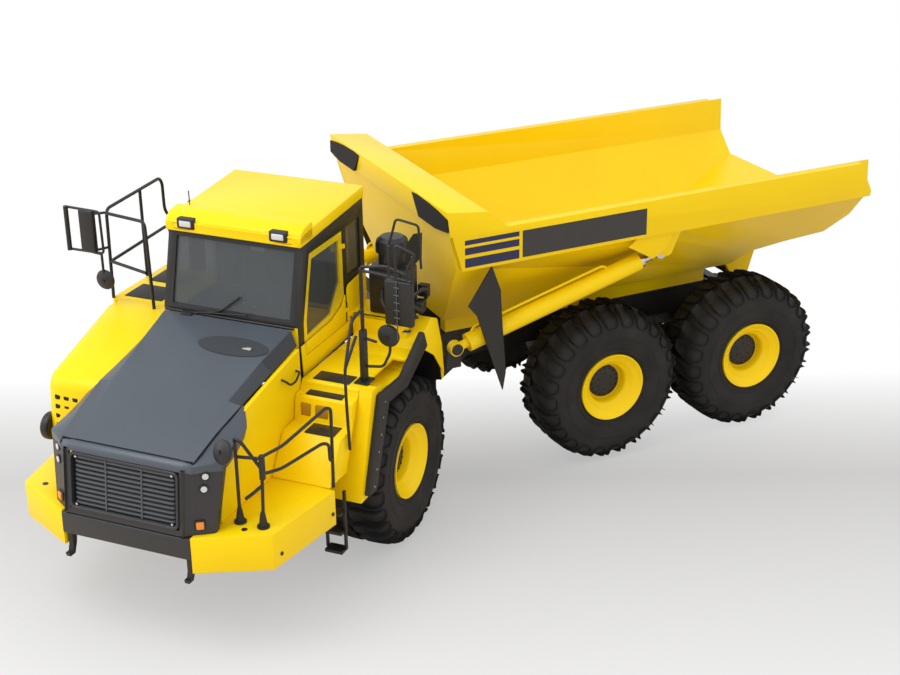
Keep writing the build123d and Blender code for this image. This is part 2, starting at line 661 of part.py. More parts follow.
def cab_door():
    leaf = side(door_outline(door_gap), cab_half - cab_wall + 4, cab_half - 2)
    window = [(door_rear_x + 80, 2780), (1560, 2520), (door_front_x - 70, 2480), (door_front_x - 70, 2650),
              (door_front_x - 230, 3270), (door_rear_x + 80, 3270)]
    leaf -= side(window, cab_half - cab_wall, cab_half)
    for z in door_hinges:
        leaf += rod((door_pin_x, door_pin_y, z), (door_pin_x, door_pin_y, z + 50), door_knuckle)
        leaf += block(door_pin_x, door_rear_x + door_gap + 25, door_pin_y - 12, door_pin_y + 4, z, z + 50)
        leaf += block(door_rear_x + door_gap, door_rear_x + door_gap + 25, cab_half - 10, door_pin_y + 4, z, z + 50)
        leaf -= rod((door_pin_x, door_pin_y, z - 1), (door_pin_x, door_pin_y, z + 51), 6.3)
    return leaf


def door_glass():
    c = clear
    window = [(door_rear_x + 80 + c, 2780 + c), (1560, 2520 + c), (door_front_x - 70 - c, 2480 + c), (door_front_x - 70 - c, 2650),
              (door_front_x - 230 - c, 3270 - c), (door_rear_x + 80 + c, 3270 - c)]
    return side(window, cab_half - 32, cab_half - 32 + glass)


def cab_roof():
    lift = clear
    outline = [(700, 3548 + lift + 3), (cab_rear_x, 3545 + lift), (cab_screen_top_x, cab_top_front_z + lift), (2150, 3452), (2155, 3560),
               (2032, 3583), (703, 3675)]
    roof = side(outline, -cab_half, cab_half)
    for box in lamp_pockets(roof_lamps, clear):
        roof -= box
    return roof


def seat():
    base = block(1100, 1500, -180, 180, cab_floor_z + cab_wall + clear, 2450)
    cushion = block(1080, 1600, -250, 250, 2450, 2580)
    back = side([(1080, 2580), (1200, 2580), (1090, 3250), (970, 3250)], -240, 240)
    return base + [cushion, back]


def console():
    desk = side([(1900, cab_floor_z + cab_wall + clear), (2180, cab_floor_z + cab_wall + clear), (2180, 2640), (2040, 2660),
                 (1950, 2560)], -500, 500)
    column = rod((1960, 0, 2560), (1830, 0, 2780), 30)
    ring = Plane(origin=(1830, 0, 2780), z_dir=(-0.5, 0, 0.86)) * Torus(210, 16)
    spoke = Plane(origin=(1830, 0, 2780), z_dir=(-0.5, 0, 0.86)) * Box(60, 410, 16)
    return desk + [column, ring, spoke]


# Dump body: the trough of welded plate with its top rails and tail.
def trough(inset):
    low = floor_half - inset * 0.6
    return [(-(knuckle_half - inset), rail_z + 400), (-(knuckle_half - inset), knuckle_z), (-low, floor_z + inset),
            (low, floor_z + inset), (knuckle_half - inset, knuckle_z), (knuckle_half - inset, rail_z + 400)]


def dump_body():
    shape = across(trough(0), tail_x - 50, body_front_x + 100)
    hollow = across(trough(wall), tail_x - 200, body_front_x + 200)
    keep = side([(wall_foot_x, floor_z - 50), (body_front_x, rail_z), (body_front_x, rail_z + 1), (tail_x + 30, rail_z + 1),
                 (tail_x, 2371), (-6222, floor_tail_z), (-5673, 2057), (-5178, 1982), (floor_kick_x, floor_z), (-5000, floor_z - 50)],
                -knuckle_half, knuckle_half)
    inside = side([(wall_foot_x - 40, floor_z + wall), (body_front_x - 40, rail_z + 10), (tail_x - 200, rail_z + 10),
                   (tail_x - 200, floor_tail_z + 420), (inner_kick_x, floor_z + wall)],
                  -knuckle_half, knuckle_half)
    space = hollow & inside
    return (shape & keep) - space, space


def body_rails():
    outline = [(body_front_x, rail_z), (-6230, rail_z), (tail_x + 20, knuckle_z + 60), (-6394, rail_z - side_rail_depth),
               (body_front_x - 120, rail_z - side_rail_depth)]
    return both(side(outline, knuckle_half - wall, body_half))


def spill_guard():
    z0 = rail_z
    outline = [(guard_foot_x, z0), (guard_front_x - 30, z0 - 20), (guard_front_x, guard_top_z), (guard_rear_x, guard_top_z - 60)]
    guard = side(outline, -body_half, body_half)
    inner = [(guard_foot_x + 60, z0 - 30), (guard_front_x - 70, z0 - 30), (guard_front_x - 40, guard_top_z - 40),
             (guard_rear_x, guard_top_z - 110)]
    return guard - side(inner, -body_half + 20, body_half - 20)


def body_mounts():
    sills = [block(tip_x + 500, -1200, s * sill_half - sill_width / 2, s * sill_half + sill_width / 2, rail_top + clear, floor_z + 5)
             for s in (-1, 1)]
    ears = []
    half = rail_inner + rail_width
    for s in (-1, 1):
        y0 = s * (half + 25)
        y1 = s * (half + 85)
        ear = side([(tip_x - 110, tip_z), (tip_x + 110, tip_z), (tip_x + 300, 1830), (tip_x - 260, 1990)], min(y0, y1), max(y0, y1))
        ear += rod((tip_x, y0, tip_z), (tip_x, y1, tip_z), tip_ear_radius)
        ear -= rod((tip_x, y0 - s, tip_z), (tip_x, y1 + s, tip_z), tip_pin_radius + slide)
        ears.append(ear)
    brackets = []
    for s in (-1, 1):
        for y in (hoist_y - hoist_lug_width / 2 - 30, hoist_y + hoist_lug_width / 2 + 6):
            x, z = hoist_eye_x, hoist_eye_z
            plate = side([(x + 90, z + 20), (x + 140, knuckle_z + 10), (x - 260, knuckle_z + 10), (x - 110, z - 20), (x - 60, z - 40)], y, y + 24)
            brackets.append(plate if s > 0 else mirror(plate, about=Plane.XZ))
    return sills + ears + brackets


def dump_body_all():
    body, space = dump_body()
    body += [mount - space for mount in body_mounts()]
    body += body_rails()
    body += [spill_guard()]
    return body


def body_guards():
    out = body_half
    low, high = body_half - 270, body_half + 130
    flap = plan([(-1110, out - 66), (-1370, out + 24), (-1376, out + 7), (-1116, out - 83)], 1180, 2740)
    cut = side([(-1500, 1000), (-1000, 1000), (-1000, 2200), (-1110, 2200), (-1340, 1180), (-1500, 1180)], low, high)
    flap -= cut
    flap -= side([(-1100, 2400), (-1000, 2400), (-1000, 2900), (-1230, 2900), (-1230, 2720)], low, high)
    flap -= block(-1500, -1000, low, high, knuckle_z - 4 - clear, 2900)
    return both(flap)


# Hoist cylinders in side view: the unit vector runs from the foot to the eye.
hoist_length = hypot(hoist_eye_x - hoist_foot_x, hoist_eye_z - hoist_foot_z)
hoist_dx = (hoist_eye_x - hoist_foot_x) / hoist_length
hoist_dz = (hoist_eye_z - hoist_foot_z) / hoist_length


def hoist_at(distance, y=hoist_y):
    return (hoist_foot_x + hoist_dx * distance, y, hoist_foot_z + hoist_dz * distance)


def hoist_barrels():
    half = hoist_lug_width / 2
    barrel = rod(hoist_at(150), hoist_at(hoist_barrel_length), hoist_barrel_radius)
    barrel += rod(hoist_at(0), hoist_at(160), hoist_pin_radius + 5)
    barrel += rod(hoist_at(0, hoist_y - half), hoist_at(0, hoist_y + half), hoist_end_radius)
    barrel -= rod(hoist_at(hoist_bottom), hoist_at(hoist_barrel_length + 1), hoist_sleeve_radius + slide)
    barrel -= rod(hoist_at(0, hoist_y - half - 1), hoist_at(0, hoist_y + half + 1), hoist_pin_radius + slide)
    return both(barrel)


# The middle stage of the two-stage hoist cylinder, a tube between barrel and rod.
def hoist_sleeves():
    start = hoist_bottom + hoist_margin
    sleeve = rod(hoist_at(start), hoist_at(hoist_sleeve_end), hoist_sleeve_radius)
    sleeve -= rod(hoist_at(start + hoist_margin), hoist_at(hoist_sleeve_end + 1), hoist_rod_radius + slide)
    return both(sleeve)


def hoist_rods():
    half = hoist_lug_width / 2
    bar = rod(hoist_at(hoist_bottom + 3 * hoist_margin), hoist_at(hoist_length - 20), hoist_rod_radius)
    bar += rod(hoist_at(hoist_length, hoist_y - half), hoist_at(hoist_length, hoist_y + half), hoist_end_radius - 12)
    return both(bar)


def lamp_pockets(table, gap):
    """The lamp bodies of a table, each grown by a gap."""
    return [Pos(x, s * y, z) * Box(depth + gap, w + 2 * gap, h + 2 * gap) for x, y, z, depth, w, h in table for s in (-1, 1)]


def lamps():
    return lamp_pockets(roof_lamps, 0) + lamp_pockets(nose_lamps, 0)


def mirrors():
    pieces = []
    pieces = []
    for s, post_x, post_y in ((1, 2205, 1480), (-1, 2074, 1540)):
        arm = rod((post_x, s * (post_y + tube + clear), 3300), (post_x, s * 1900, 3300), 14)
        pane = block(post_x - 20, post_x + 20, s * 1800 - 100, s * 1800 + 100, 3060, 3500)
        pieces.append(arm + pane)
    return pieces


def handrails():
    right = [
        rail([(2180, -1000, deck_high_z + clear), (2180, -1000, 3530), (2080, -1540, 3560), (1000, -1570, 3560), (1000, -1570, deck_high_z + clear)]),
        rod((2074, -1540, deck_high_z + clear), (2074, -1540, 3520), tube),
    ]
    left = [
        rail([(4000, 1020, wing_top_z + clear), (4000, 1020, 2250), (3700, 1400, 2300), (3250, 1440, 2260), (3250, 1440, wing_top_z + clear)]),
        rod((3998, 1260, wing_top_z + clear), (3998, 1260, 2090), tube),
        rod((2205, 1480, deck_z + 30 + clear), (2205, 1480, 3360), tube),
    ]
    return right + left


def deck_gear():
    stack = rod((960, -1200, deck_high_z + clear), (960, -1200, 3300), 90)
    cleaner = rod((930, 1180, 2394 + 2 * clear), (930, 1180, 2900), 150)
    return [stack, cleaner]


def tow_hooks():
    pieces = []
    for s in (-1, 1):
        pieces.append(side([(4330, 1110 - clear), (4420, 1110 - clear), (4420, 960), (4440, 900), (4490, 900), (4480, 860), (4400, 860), (4360, 960)],
                           s * 673 - 25, s * 673 + 25))
    return pieces


left_side = Location((0, tread / 2, 0))
right_side = Location((0, -tread / 2, 0), (0, 0, 180))
tyre_form = tyre()
wheel_form = wheel()
axle_x = {"front": front_axle_x, "mid": mid_axle_x, "rear": rear_axle_x}

rear_unit = {
    "rear_frame": [rear_frame()],
    "hoist_beam": [hoist_beam()],
    "tow_clevis": [tow_clevis()],
    "rear_axles": [axle(mid_axle_x), axle(rear_axle_x)],
    "equalizer_beams": equalizer_beams(),
    "hitch": [hitch()],
    "dump_body": [dump_body_all()],
    "body_guards": body_guards(),
    "hoist_barrels": hoist_barrels(),
    "hoist_sleeves": hoist_sleeves(),
    "hoist_rods": hoist_rods(),
}
tractor = {
    "front_frame": [front_frame()],
    "front_axle": [front_axle()],
    "engine_block": [engine_block()],
    "hood": [hood()],
    "nose": [nose()],
    "grille": [grille()],
    "bumper_beam": [bumper_beam()],
    "bumper_wings": both(bumper_wing()),
    "side_panel_left": [side_panel_left()],
    "cover_right": cover_right(),
    "fenders": both(fender()),
    "fender_flares": both(flare()),
    "access_steps": access_steps(),
    "cab_shell": [cab_shell()],
    "cab_roof": [cab_roof()],
    "cab_glass": cab_glass(),
    "cab_door": [cab_door()],
    "door_glass": [door_glass()],
    "seat": [seat()],
    "console": [console()],
    "lamps": lamps(),
    "mirrors": mirrors(),
    "handrails": handrails(),
    "deck_gear": deck_gear(),
    "tow_hooks": tow_hooks(),
    "steering_barrel_left": [steering_barrel(1)],
    "steering_barrel_right": [steering_barrel(-1)],
    "steering_rod_left": [steering_rod(1)],
    "steering_rod_right": [steering_rod(-1)],
}
for place, x in axle_x.items():
    unit = tractor if place == "front" else rear_unit
    for name, spot in (("left", left_side), ("right", right_side)):
        hub = Pos(x, 0, axle_height) * spot
        unit[f"tyre_{place}_{name}"] = [hub * tyre_form]
        unit[f"wheel_{place}_{name}"] = [hub * wheel_form]

turn = Rot(0, 0, steer_rest)
nodes = {name: pieces for name, pieces in rear_unit.items()}
nodes.update({name: [turn * piece for piece in pieces] for name, pieces in tractor.items()})

solids = {name: [s for piece in pieces for s in piece.solids()] for name, pieces in nodes.items()}
box = Compound([s for group in solids.values() for s in group]).bounding_box()
shift = (-(box.min.X + box.max.X) / 2, -(box.min.Y + box.max.Y) / 2, 0)
print("shift", [round(v, 3) for v in shift], "lowest", round(box.min.Z, 3))
print("size", box.size)

os.makedirs("parts", exist_ok=True)
for name, group in solids.items():
    export_step(Pos(*shift) * Compound(group), f"parts/{name}.step")
print(len(solids), "nodes")
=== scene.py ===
import json
from math import cos, pi, radians, sin

import bmesh
import bpy
from mathutils import Matrix, Vector


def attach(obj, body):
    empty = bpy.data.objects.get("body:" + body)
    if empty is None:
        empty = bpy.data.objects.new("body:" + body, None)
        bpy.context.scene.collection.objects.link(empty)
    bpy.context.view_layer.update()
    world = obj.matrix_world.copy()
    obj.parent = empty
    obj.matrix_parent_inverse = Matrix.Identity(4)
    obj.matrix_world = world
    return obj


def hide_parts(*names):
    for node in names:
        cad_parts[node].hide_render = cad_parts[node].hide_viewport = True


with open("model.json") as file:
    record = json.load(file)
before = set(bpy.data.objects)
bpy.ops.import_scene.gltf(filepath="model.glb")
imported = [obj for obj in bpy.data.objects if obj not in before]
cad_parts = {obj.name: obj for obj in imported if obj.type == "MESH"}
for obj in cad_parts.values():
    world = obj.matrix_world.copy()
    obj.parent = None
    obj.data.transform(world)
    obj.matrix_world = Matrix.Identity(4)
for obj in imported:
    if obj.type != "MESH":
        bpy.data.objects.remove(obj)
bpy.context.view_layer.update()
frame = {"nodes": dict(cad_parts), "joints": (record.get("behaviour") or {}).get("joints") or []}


# Camera: it stands ahead of the truck on its left and looks down on the turned tractor.
# Every place in this file is given from the steering pin: X forward along the rear unit,
# or along the tractor, which is turned 41 degrees to the left about the same pin.
steering_pin = next(joint["pos_m"] for joint in frame["joints"] if joint["name"] == "articulation")
rear_unit = Matrix.Translation((steering_pin[0], steering_pin[1], 0.0))
tractor_turn = radians(41.0)
tractor = rear_unit @ Matrix.Rotation(tractor_turn, 4, "Z")

camera_yaw, camera_pitch, camera_roll = radians(-115.809), radians(-23.503), radians(-0.630)
look = Vector((cos(camera_yaw) * cos(camera_pitch), sin(camera_yaw) * cos(camera_pitch), sin(camera_pitch)))
level = Vector((sin(camera_yaw), -cos(camera_yaw), 0.0))
upright = level.cross(look)
camera_right = level * cos(camera_roll) + upright * sin(camera_roll)
camera_up = upright * cos(camera_roll) - level * sin(camera_roll)
camera_lens = bpy.data.cameras.new("camera")
camera_lens.sensor_width = 36.0
camera_lens.lens = 65.914
camera_lens.shift_x = -0.01108
camera_lens.shift_y = -0.00162
camera_lens.clip_end = 400.0
camera = bpy.data.objects.new("camera", camera_lens)
turned = Matrix((camera_right, camera_up, -look)).transposed().to_4x4()
camera_place = (6.426, 16.656, 9.222)
camera.matrix_world = rear_unit @ Matrix.Translation(camera_place) @ turned
bpy.context.scene.collection.objects.link(camera)
bpy.context.scene.camera = camera


# Studio: a pale floor that keeps the truck's soft shadow and fades to white behind it,
# a broad lamp high on the left, a weaker one on the right and the even light of a white room.
class Wire:
    """A node's output; arithmetic on it adds Math nodes."""

    def __init__(self, tree, socket):
        self.tree = tree
        self.socket = socket

    def math(self, operation, *values):
        node = self.tree.nodes.new("ShaderNodeMath")
        node.operation = operation
        for place, value in zip(node.inputs, values):
            plug(self.tree, place, value)
        return Wire(self.tree, node.outputs[0])

    def __add__(self, other):
        return self.math("ADD", self, other)

    def __sub__(self, other):
        return self.math("SUBTRACT", self, other)

    def __rsub__(self, other):
        return self.math("SUBTRACT", other, self)

    def __mul__(self, other):
        return self.math("MULTIPLY", self, other)

    __radd__ = __add__
    __rmul__ = __mul__


def plug(tree, place, value):
    """Links a wire to a socket, or sets the socket to a plain value."""
    if isinstance(value, Wire):
        tree.links.new(value.socket, place)
    else:
        place.default_value = value


class Finish:
    """A finish being mixed: a material with one shader and whatever varies over the surface."""

    def __init__(self, name, color, roughness, **sockets):
        self.material = bpy.data.materials.new(name)
        self.material.use_nodes = True
        self.tree = self.material.node_tree
        self.shader = self.tree.nodes["Principled BSDF"]
        self.set("Base Color", (*color, 1.0))
        self.set("Roughness", roughness)
        for socket, value in sockets.items():
            self.set(socket.replace("_", " "), value)

    def set(self, socket, value):
        plug(self.tree, self.shader.inputs[socket], value)

    def add(self, kind, settings, sockets, output=0):
        """Adds a node: its settings first, then its sockets by name or number."""
        node = self.tree.nodes.new("ShaderNode" + kind)
        for name, value in settings.items():
            setattr(node, name, value)
        for socket, value in sockets.items():
            plug(self.tree, node.inputs[socket], value)
        return Wire(self.tree, node.outputs[output])

    def place(self):
        return self.add("TexCoord", {}, {}, "Object")

    def noise(self, scale, detail=3.0, roughness=0.5):
        sockets = {"Vector": self.place(), "Scale": scale, "Detail": detail, "Roughness": roughness}
        return self.add("TexNoise", {}, sockets)

    def mix(self, share, low, high):
        """The colour low where share is 0 and high where it is 1."""
        low, high = [(*c, 1.0) if isinstance(c, tuple) and len(c) == 3 else c for c in (low, high)]
        return self.add("Mix", {"data_type": "RGBA"}, {0: share, 6: low, 7: high}, 2)

    def ramp(self, value, start, end):
        """0 below start, 1 above end and straight between."""
        sockets = {"Value": value, "From Min": start, "From Max": end}
        return self.add("MapRange", {"clamp": True}, sockets)

    def bump(self, height, distance, strength=1.0):
        sockets = {"Height": height, "Distance": distance, "Strength": strength}
        self.set("Normal", self.add("Bump", {}, sockets))


floor_mesh = bmesh.new()
bmesh.ops.create_circle(floor_mesh, cap_ends=True, segments=64, radius=60.0)
floor_data = bpy.data.meshes.new("studio_floor")
floor_mesh.to_mesh(floor_data)
floor_mesh.free()
floor = bpy.data.objects.new("studio_floor", floor_data)
bpy.context.scene.collection.objects.link(floor)

# distances along the view from the steering pin: the floor starts to darken, is darkest, is white
floor_near, floor_dark, floor_far = -4.4, -0.7, 1.9
bounce_tone = (0.74, 0.64, 0.54)
near_tone = (0.80, 0.80, 0.80)
dark_tone = (0.60, 0.60, 0.60)
white = (1.0, 1.0, 1.0)
floor_paint = Finish("studio floor", bounce_tone, 0.9)
floor_seen = floor_paint.add("LightPath", {}, {}, "Is Camera Ray")
floor_spot = floor_paint.add("VectorMath", {"operation": "DOT_PRODUCT"},
                             {0: floor_paint.place(), 1: (look.x, look.y, 0.0)}, "Value")
floor_along = floor_spot - (look.x * steering_pin[0] + look.y * steering_pin[1])
darkening = floor_paint.ramp(floor_along, floor_near, floor_dark)
shown_tone = floor_paint.mix(darkening, near_tone, dark_tone)
floor_paint.set("Base Color", floor_paint.mix(floor_seen, bounce_tone, shown_tone))
floor_glow = floor_paint.mix(darkening, near_tone, (0.62, 0.62, 0.615))
floor_glow = floor_paint.mix(floor_paint.ramp(floor_along, floor_dark, floor_far), floor_glow, white)
floor_light = floor_paint.add("Emission", {}, {"Color": floor_glow, "Strength": 1.0})
glow_share = floor_paint.ramp(floor_along, floor_dark + 0.1, floor_far) * 0.40 + 0.60
floor_shader = Wire(floor_paint.tree, floor_paint.shader.outputs[0])
floor_sockets = {0: glow_share * floor_seen, 1: floor_shader, 2: floor_light}
floor_shown = floor_paint.add("MixShader", {}, floor_sockets)
floor_paint.tree.links.new(floor_shown.socket, floor_paint.tree.nodes["Material Output"].inputs["Surface"])
floor_data.materials.append(floor_paint.material)

room = bpy.data.worlds.new("studio")
room.use_nodes = True
room.node_tree.nodes["Background"].inputs["Color"].default_value = (*white, 1.0)
room.node_tree.nodes["Background"].inputs["Strength"].default_value = 1.0
bpy.context.scene.world = room

# name, place from the steering pin, power in watts, size in metres
lamps = (("key_lamp", (9.5, 3.0, 15.0), 950.0, 9.0),
         ("fill_lamp", (14.0, -4.0, 7.0), 300.0, 8.0))
# the spot every lamp is aimed at
lamp_target = Vector((0.0, 1.0, 1.2))
for lamp_name, lamp_place, lamp_power, lamp_size in lamps:
    lamp_data = bpy.data.lights.new(lamp_name, "AREA")
    lamp_data.energy = lamp_power
    lamp_data.size = lamp_size
    lamp = bpy.data.objects.new(lamp_name, lamp_data)
    aim = (lamp_target - Vector(lamp_place)).to_track_quat("-Z", "Y").to_matrix().to_4x4()
    lamp.matrix_world = rear_unit @ Matrix.Translation(lamp_place) @ aim
    bpy.context.scene.collection.objects.link(lamp)
bpy.context.scene.view_settings.view_transform = "Standard"


# Frames: two welded box frames with their axles, beams and the hitch between them,
# castings and plate, all painted gloss black at the works.
def dress(finish, *names):
    """Puts a finish on CAD nodes."""
    for name in names:
        mesh = frame["nodes"][name].data
        mesh.materials.clear()
        mesh.materials.append(finish.material)


black = Finish("black enamel", (0.012, 0.012, 0.013), 0.42)
black.set("Roughness", black.noise(30.0) * 0.25 + 0.3)
black.bump(black.noise(60.0, 2.0), 0.0002, 0.1)
dress(black, "front_frame", "rear_frame", "hoist_beam", "tow_clevis", "rear_axles", "front_axle",
      "equalizer_beams", "hitch", "steering_barrel_left", "steering_barrel_right", "tow_hooks")


# Fenders and cylinders: yellow panels are pressed steel with gloss enamel, a touch deeper where
# it lies thick, and so are the hoist barrels; every rod is hard-chromed steel.
yellow = Finish("yellow enamel", (0.95, 0.64, 0.004), 0.35, Coat_Weight=0.05, Coat_Roughness=0.15,
                Specular_IOR_Level=0.2)
yellow_cloud = yellow.ramp(yellow.noise(1.4), 0.3, 0.7)
yellow.set("Base Color", yellow.mix(yellow_cloud, (0.98, 0.685, 0.002), (0.95, 0.655, 0.002)))
yellow.set("Roughness", yellow.noise(9.0) * 0.12 + 0.28)
yellow.bump(yellow.noise(260.0, 2.0), 0.0003, 0.25)
dress(yellow, "fenders", "hoist_barrels")

chrome = Finish("chromed rod", (0.62, 0.63, 0.65), 0.16, Metallic=1.0)
chrome.set("Roughness", chrome.noise(40.0) * 0.1 + 0.12)
dress(chrome, "hoist_rods", "hoist_sleeves", "steering_rod_left", "steering_rod_right")


# Engine and cab fittings: the engine is one rough iron block under the hood, and the console
# is grained plastic, seen through dark tinted glass that is bonded into the cab and its door.
iron = Finish("engine iron", (0.06, 0.06, 0.06), 0.6)
iron.bump(iron.noise(120.0, 4.0), 0.001, 0.4)
dress(iron, "engine_block")

plastic = Finish("cab plastic", (0.03, 0.03, 0.032), 0.6)
plastic.bump(plastic.noise(700.0, 2.0), 0.0003, 0.4)
dress(plastic, "console")

pane = Finish("tinted glass", (0.20, 0.22, 0.24), 0.02, Transmission_Weight=0.82, IOR=1.45)
pane_cloud = pane.ramp(pane.noise(0.8), 0.3, 0.7)
pane.set("Base Color", pane.mix(pane_cloud, (0.24, 0.27, 0.29), (0.28, 0.31, 0.33)))
dress(pane, "cab_glass", "door_glass")


# Tyres: radial earthmover tyres, moulded rubber with deep block lugs that run from the crown
# over the shoulder onto the sidewall, left and right ones half a pitch apart.
tread = Finish("tyre rubber", (0.012, 0.012, 0.013), 0.72, Specular_IOR_Level=0.35)
tread_cloud = tread.ramp(tread.noise(3.0, 6.0), 0.35, 0.75)
tread.set("Base Color", tread.mix(tread_cloud, (0.010, 0.010, 0.011), (0.022, 0.021, 0.020)))
tread.bump(tread.noise(150.0, 5.0), 0.0012, 0.35)


def build(name, mesh, finish, body, place, *replaced, crease=32.0):
    """Makes the piece from its bmesh: placed, closed, smooth up to the crease and riding on its body."""
    bmesh.ops.transform(mesh, matrix=place, verts=mesh.verts)
    bmesh.ops.remove_doubles(mesh, verts=mesh.verts, dist=0.00002)
    bmesh.ops.recalc_face_normals(mesh, faces=mesh.faces)
    data = bpy.data.meshes.new(name)
    mesh.to_mesh(data)
    mesh.free()
    data.polygons.foreach_set("use_smooth", [True] * len(data.polygons))
    data.set_sharp_from_angle(angle=radians(crease))
    data.materials.append(finish.material)
    piece = bpy.data.objects.new(name, data)
    bpy.context.scene.collection.objects.link(piece)
    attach(piece, body)
    if replaced:
        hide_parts(*replaced)
    return piece


def turn_profile(mesh, profile, steps):
    """Turns a closed outline of (radius, y) about the axle line."""
    ring = [mesh.verts.new((0.0, y, radius)) for radius, y in profile]
    edges = [mesh.edges.new(pair) for pair in zip(ring, ring[1:] + ring[:1])]
    bmesh.ops.spin(mesh, geom=ring + edges, cent=(0, 0, 0), axis=(0, 1, 0), angle=2 * pi, steps=steps,
                   use_merge=True)


half_tread = 1.345
axle_height = 0.930
axles = (("front", 1.545, tractor), ("mid", -2.805, rear_unit), ("rear", -4.775, rear_unit))
wheel_spots = {}
for axle_name, axle_x, unit in axles:
    for side_name, side_sign in (("left", 1), ("right", -1)):
        turned_out = Matrix.Rotation(0.0 if side_sign > 0 else pi, 4, "Z")
        middle = Matrix.Translation((axle_x, side_sign * half_tread, axle_height))
        wheel_spots[f"{axle_name}_{side_name}"] = unit @ middle @ turned_out

lug_count = 24
lug_depth = 0.062
# across the tread, radius, sweep along the tread and width of a lug
lug_path = ((0.012, 0.929, 0.000, 0.110), (0.085, 0.930, 0.022, 0.140), (0.180, 0.928, 0.040, 0.152),
            (0.265, 0.918, 0.050, 0.160), (0.322, 0.895, 0.054, 0.164), (0.352, 0.852, 0.052, 0.158),
            (0.368, 0.805, 0.046, 0.140), (0.3735, 0.770, 0.040, 0.100))


def lug():
    """One block lug of the left half of the tread, standing on the carcass at the top of the tyre."""
    mesh = bmesh.new()
    rows = []
    for y, radius, sweep, width in lug_path:
        ends = (sweep - width / 2, sweep + width / 2)
        rows.append([mesh.verts.new((x, y, (radius ** 2 - x ** 2) ** 0.5)) for x in ends])
    top = [mesh.faces.new((a[0], a[1], b[1], b[0])) for a, b in zip(rows, rows[1:])]
    walls = bmesh.ops.extrude_face_region(mesh, geom=top)
    roots = [v for v in walls["geom"] if isinstance(v, bmesh.types.BMVert)]
    for root in roots:
        inward = Vector((0.0, root.co.y, root.co.z)) - Vector((0.0, 0.20, 0.78))
        root.co -= inward.normalized() * lug_depth
        root.co.x += 0.012 * (1 if root.co.x > sweep_at(root.co.y) else -1)
    bmesh.ops.delete(mesh, geom=top, context="FACES_ONLY")
    bmesh.ops.recalc_face_normals(mesh, faces=mesh.faces)
    rim = [e for e in mesh.edges if e.is_manifold and e.calc_face_angle(0.0) > radians(50)]
    bmesh.ops.bevel(mesh, geom=rim, offset=0.009, segments=2, profile=0.5, affect="EDGES", material=-1)
    return mesh


def sweep_at(y):
    """The middle of the lug at a place across the tread."""
    return next(sweep for place, radius, sweep, width in reversed(lug_path)
                if y + 0.03 >= place or place < 0.02)


# radius, distance from the tyre's middle
carcass = ((0.402, 0.262), (0.404, 0.300), (0.428, 0.322), (0.452, 0.331), (0.457, 0.342),
           (0.478, 0.345), (0.484, 0.338), (0.560, 0.355), (0.618, 0.364), (0.622, 0.369),
           (0.634, 0.3695), (0.638, 0.365), (0.700, 0.366), (0.770, 0.354), (0.830, 0.326),
           (0.862, 0.286), (0.876, 0.200), (0.880, 0.060))
tyre_mesh = bmesh.new()
lug_mesh = lug()
lug_data = bpy.data.meshes.new("lug")
lug_mesh.to_mesh(lug_data)
for number in range(2 * lug_count):
    before = set(tyre_mesh.verts)
    tyre_mesh.from_mesh(lug_data)
    fresh = [v for v in tyre_mesh.verts if v not in before]
    if number % 2:
        bmesh.ops.scale(tyre_mesh, vec=(1, -1, 1), verts=fresh)
    bmesh.ops.rotate(tyre_mesh, verts=fresh, cent=(0, 0, 0),
                     matrix=Matrix.Rotation(pi * number / lug_count, 3, "Y"))
bpy.data.meshes.remove(lug_data)
lug_mesh.free()
turn_profile(tyre_mesh, carcass + tuple((radius, -y) for radius, y in reversed(carcass)), 96)
tyre_data = bpy.data.meshes.new("tyre")
tyre_mesh.to_mesh(tyre_data)
tyre_mesh.free()
for spot, spot_place in wheel_spots.items():
    copy = bmesh.new()
    copy.from_mesh(tyre_data)
    build(f"lugged_tyre_{spot}", copy, tread, f"wheel_{spot}", spot_place, f"tyre_{spot}")
bpy.data.meshes.remove(tyre_data)


# Wheels: yellow steel rims with a broad outer flange and a deep dished centre,
# bolted round a dark planetary hub.

# radius, distance from the wheel's middle
rim_profile = ((0.200, 0.104), (0.226, 0.104), (0.234, 0.112), (0.240, 0.196), (0.248, 0.212),
               (0.262, 0.222), (0.300, 0.258), (0.312, 0.270), (0.322, 0.272), (0.386, 0.326),
               (0.396, 0.338), (0.405, 0.340), (0.411, 0.336), (0.412, 0.322), (0.411, 0.302),
               (0.397, 0.300), (0.397, -0.300), (0.377, -0.300), (0.376, 0.060), (0.204, 0.066))
hub_profile = ((0.198, 0.064), (0.198, 0.128), (0.190, 0.140), (0.150, 0.144), (0.136, 0.149),
               (0.058, 0.149), (0.052, 0.144), (0.002, 0.144), (0.002, -0.060), (0.140, -0.060))


def bolts(mesh, count, circle, radius, y0, y1):
    """A ring of hexagon heads on the wheel's face."""
    for number in range(count):
        angle = 2 * pi * number / count
        middle = Vector((circle * sin(angle), (y0 + y1) / 2, circle * cos(angle)))
        bmesh.ops.create_cone(mesh, cap_ends=True, segments=6, radius1=radius, radius2=radius * 0.9,
                              depth=y1 - y0,
                              matrix=Matrix.Translation(middle) @ Matrix.Rotation(-pi / 2, 4, "X"))


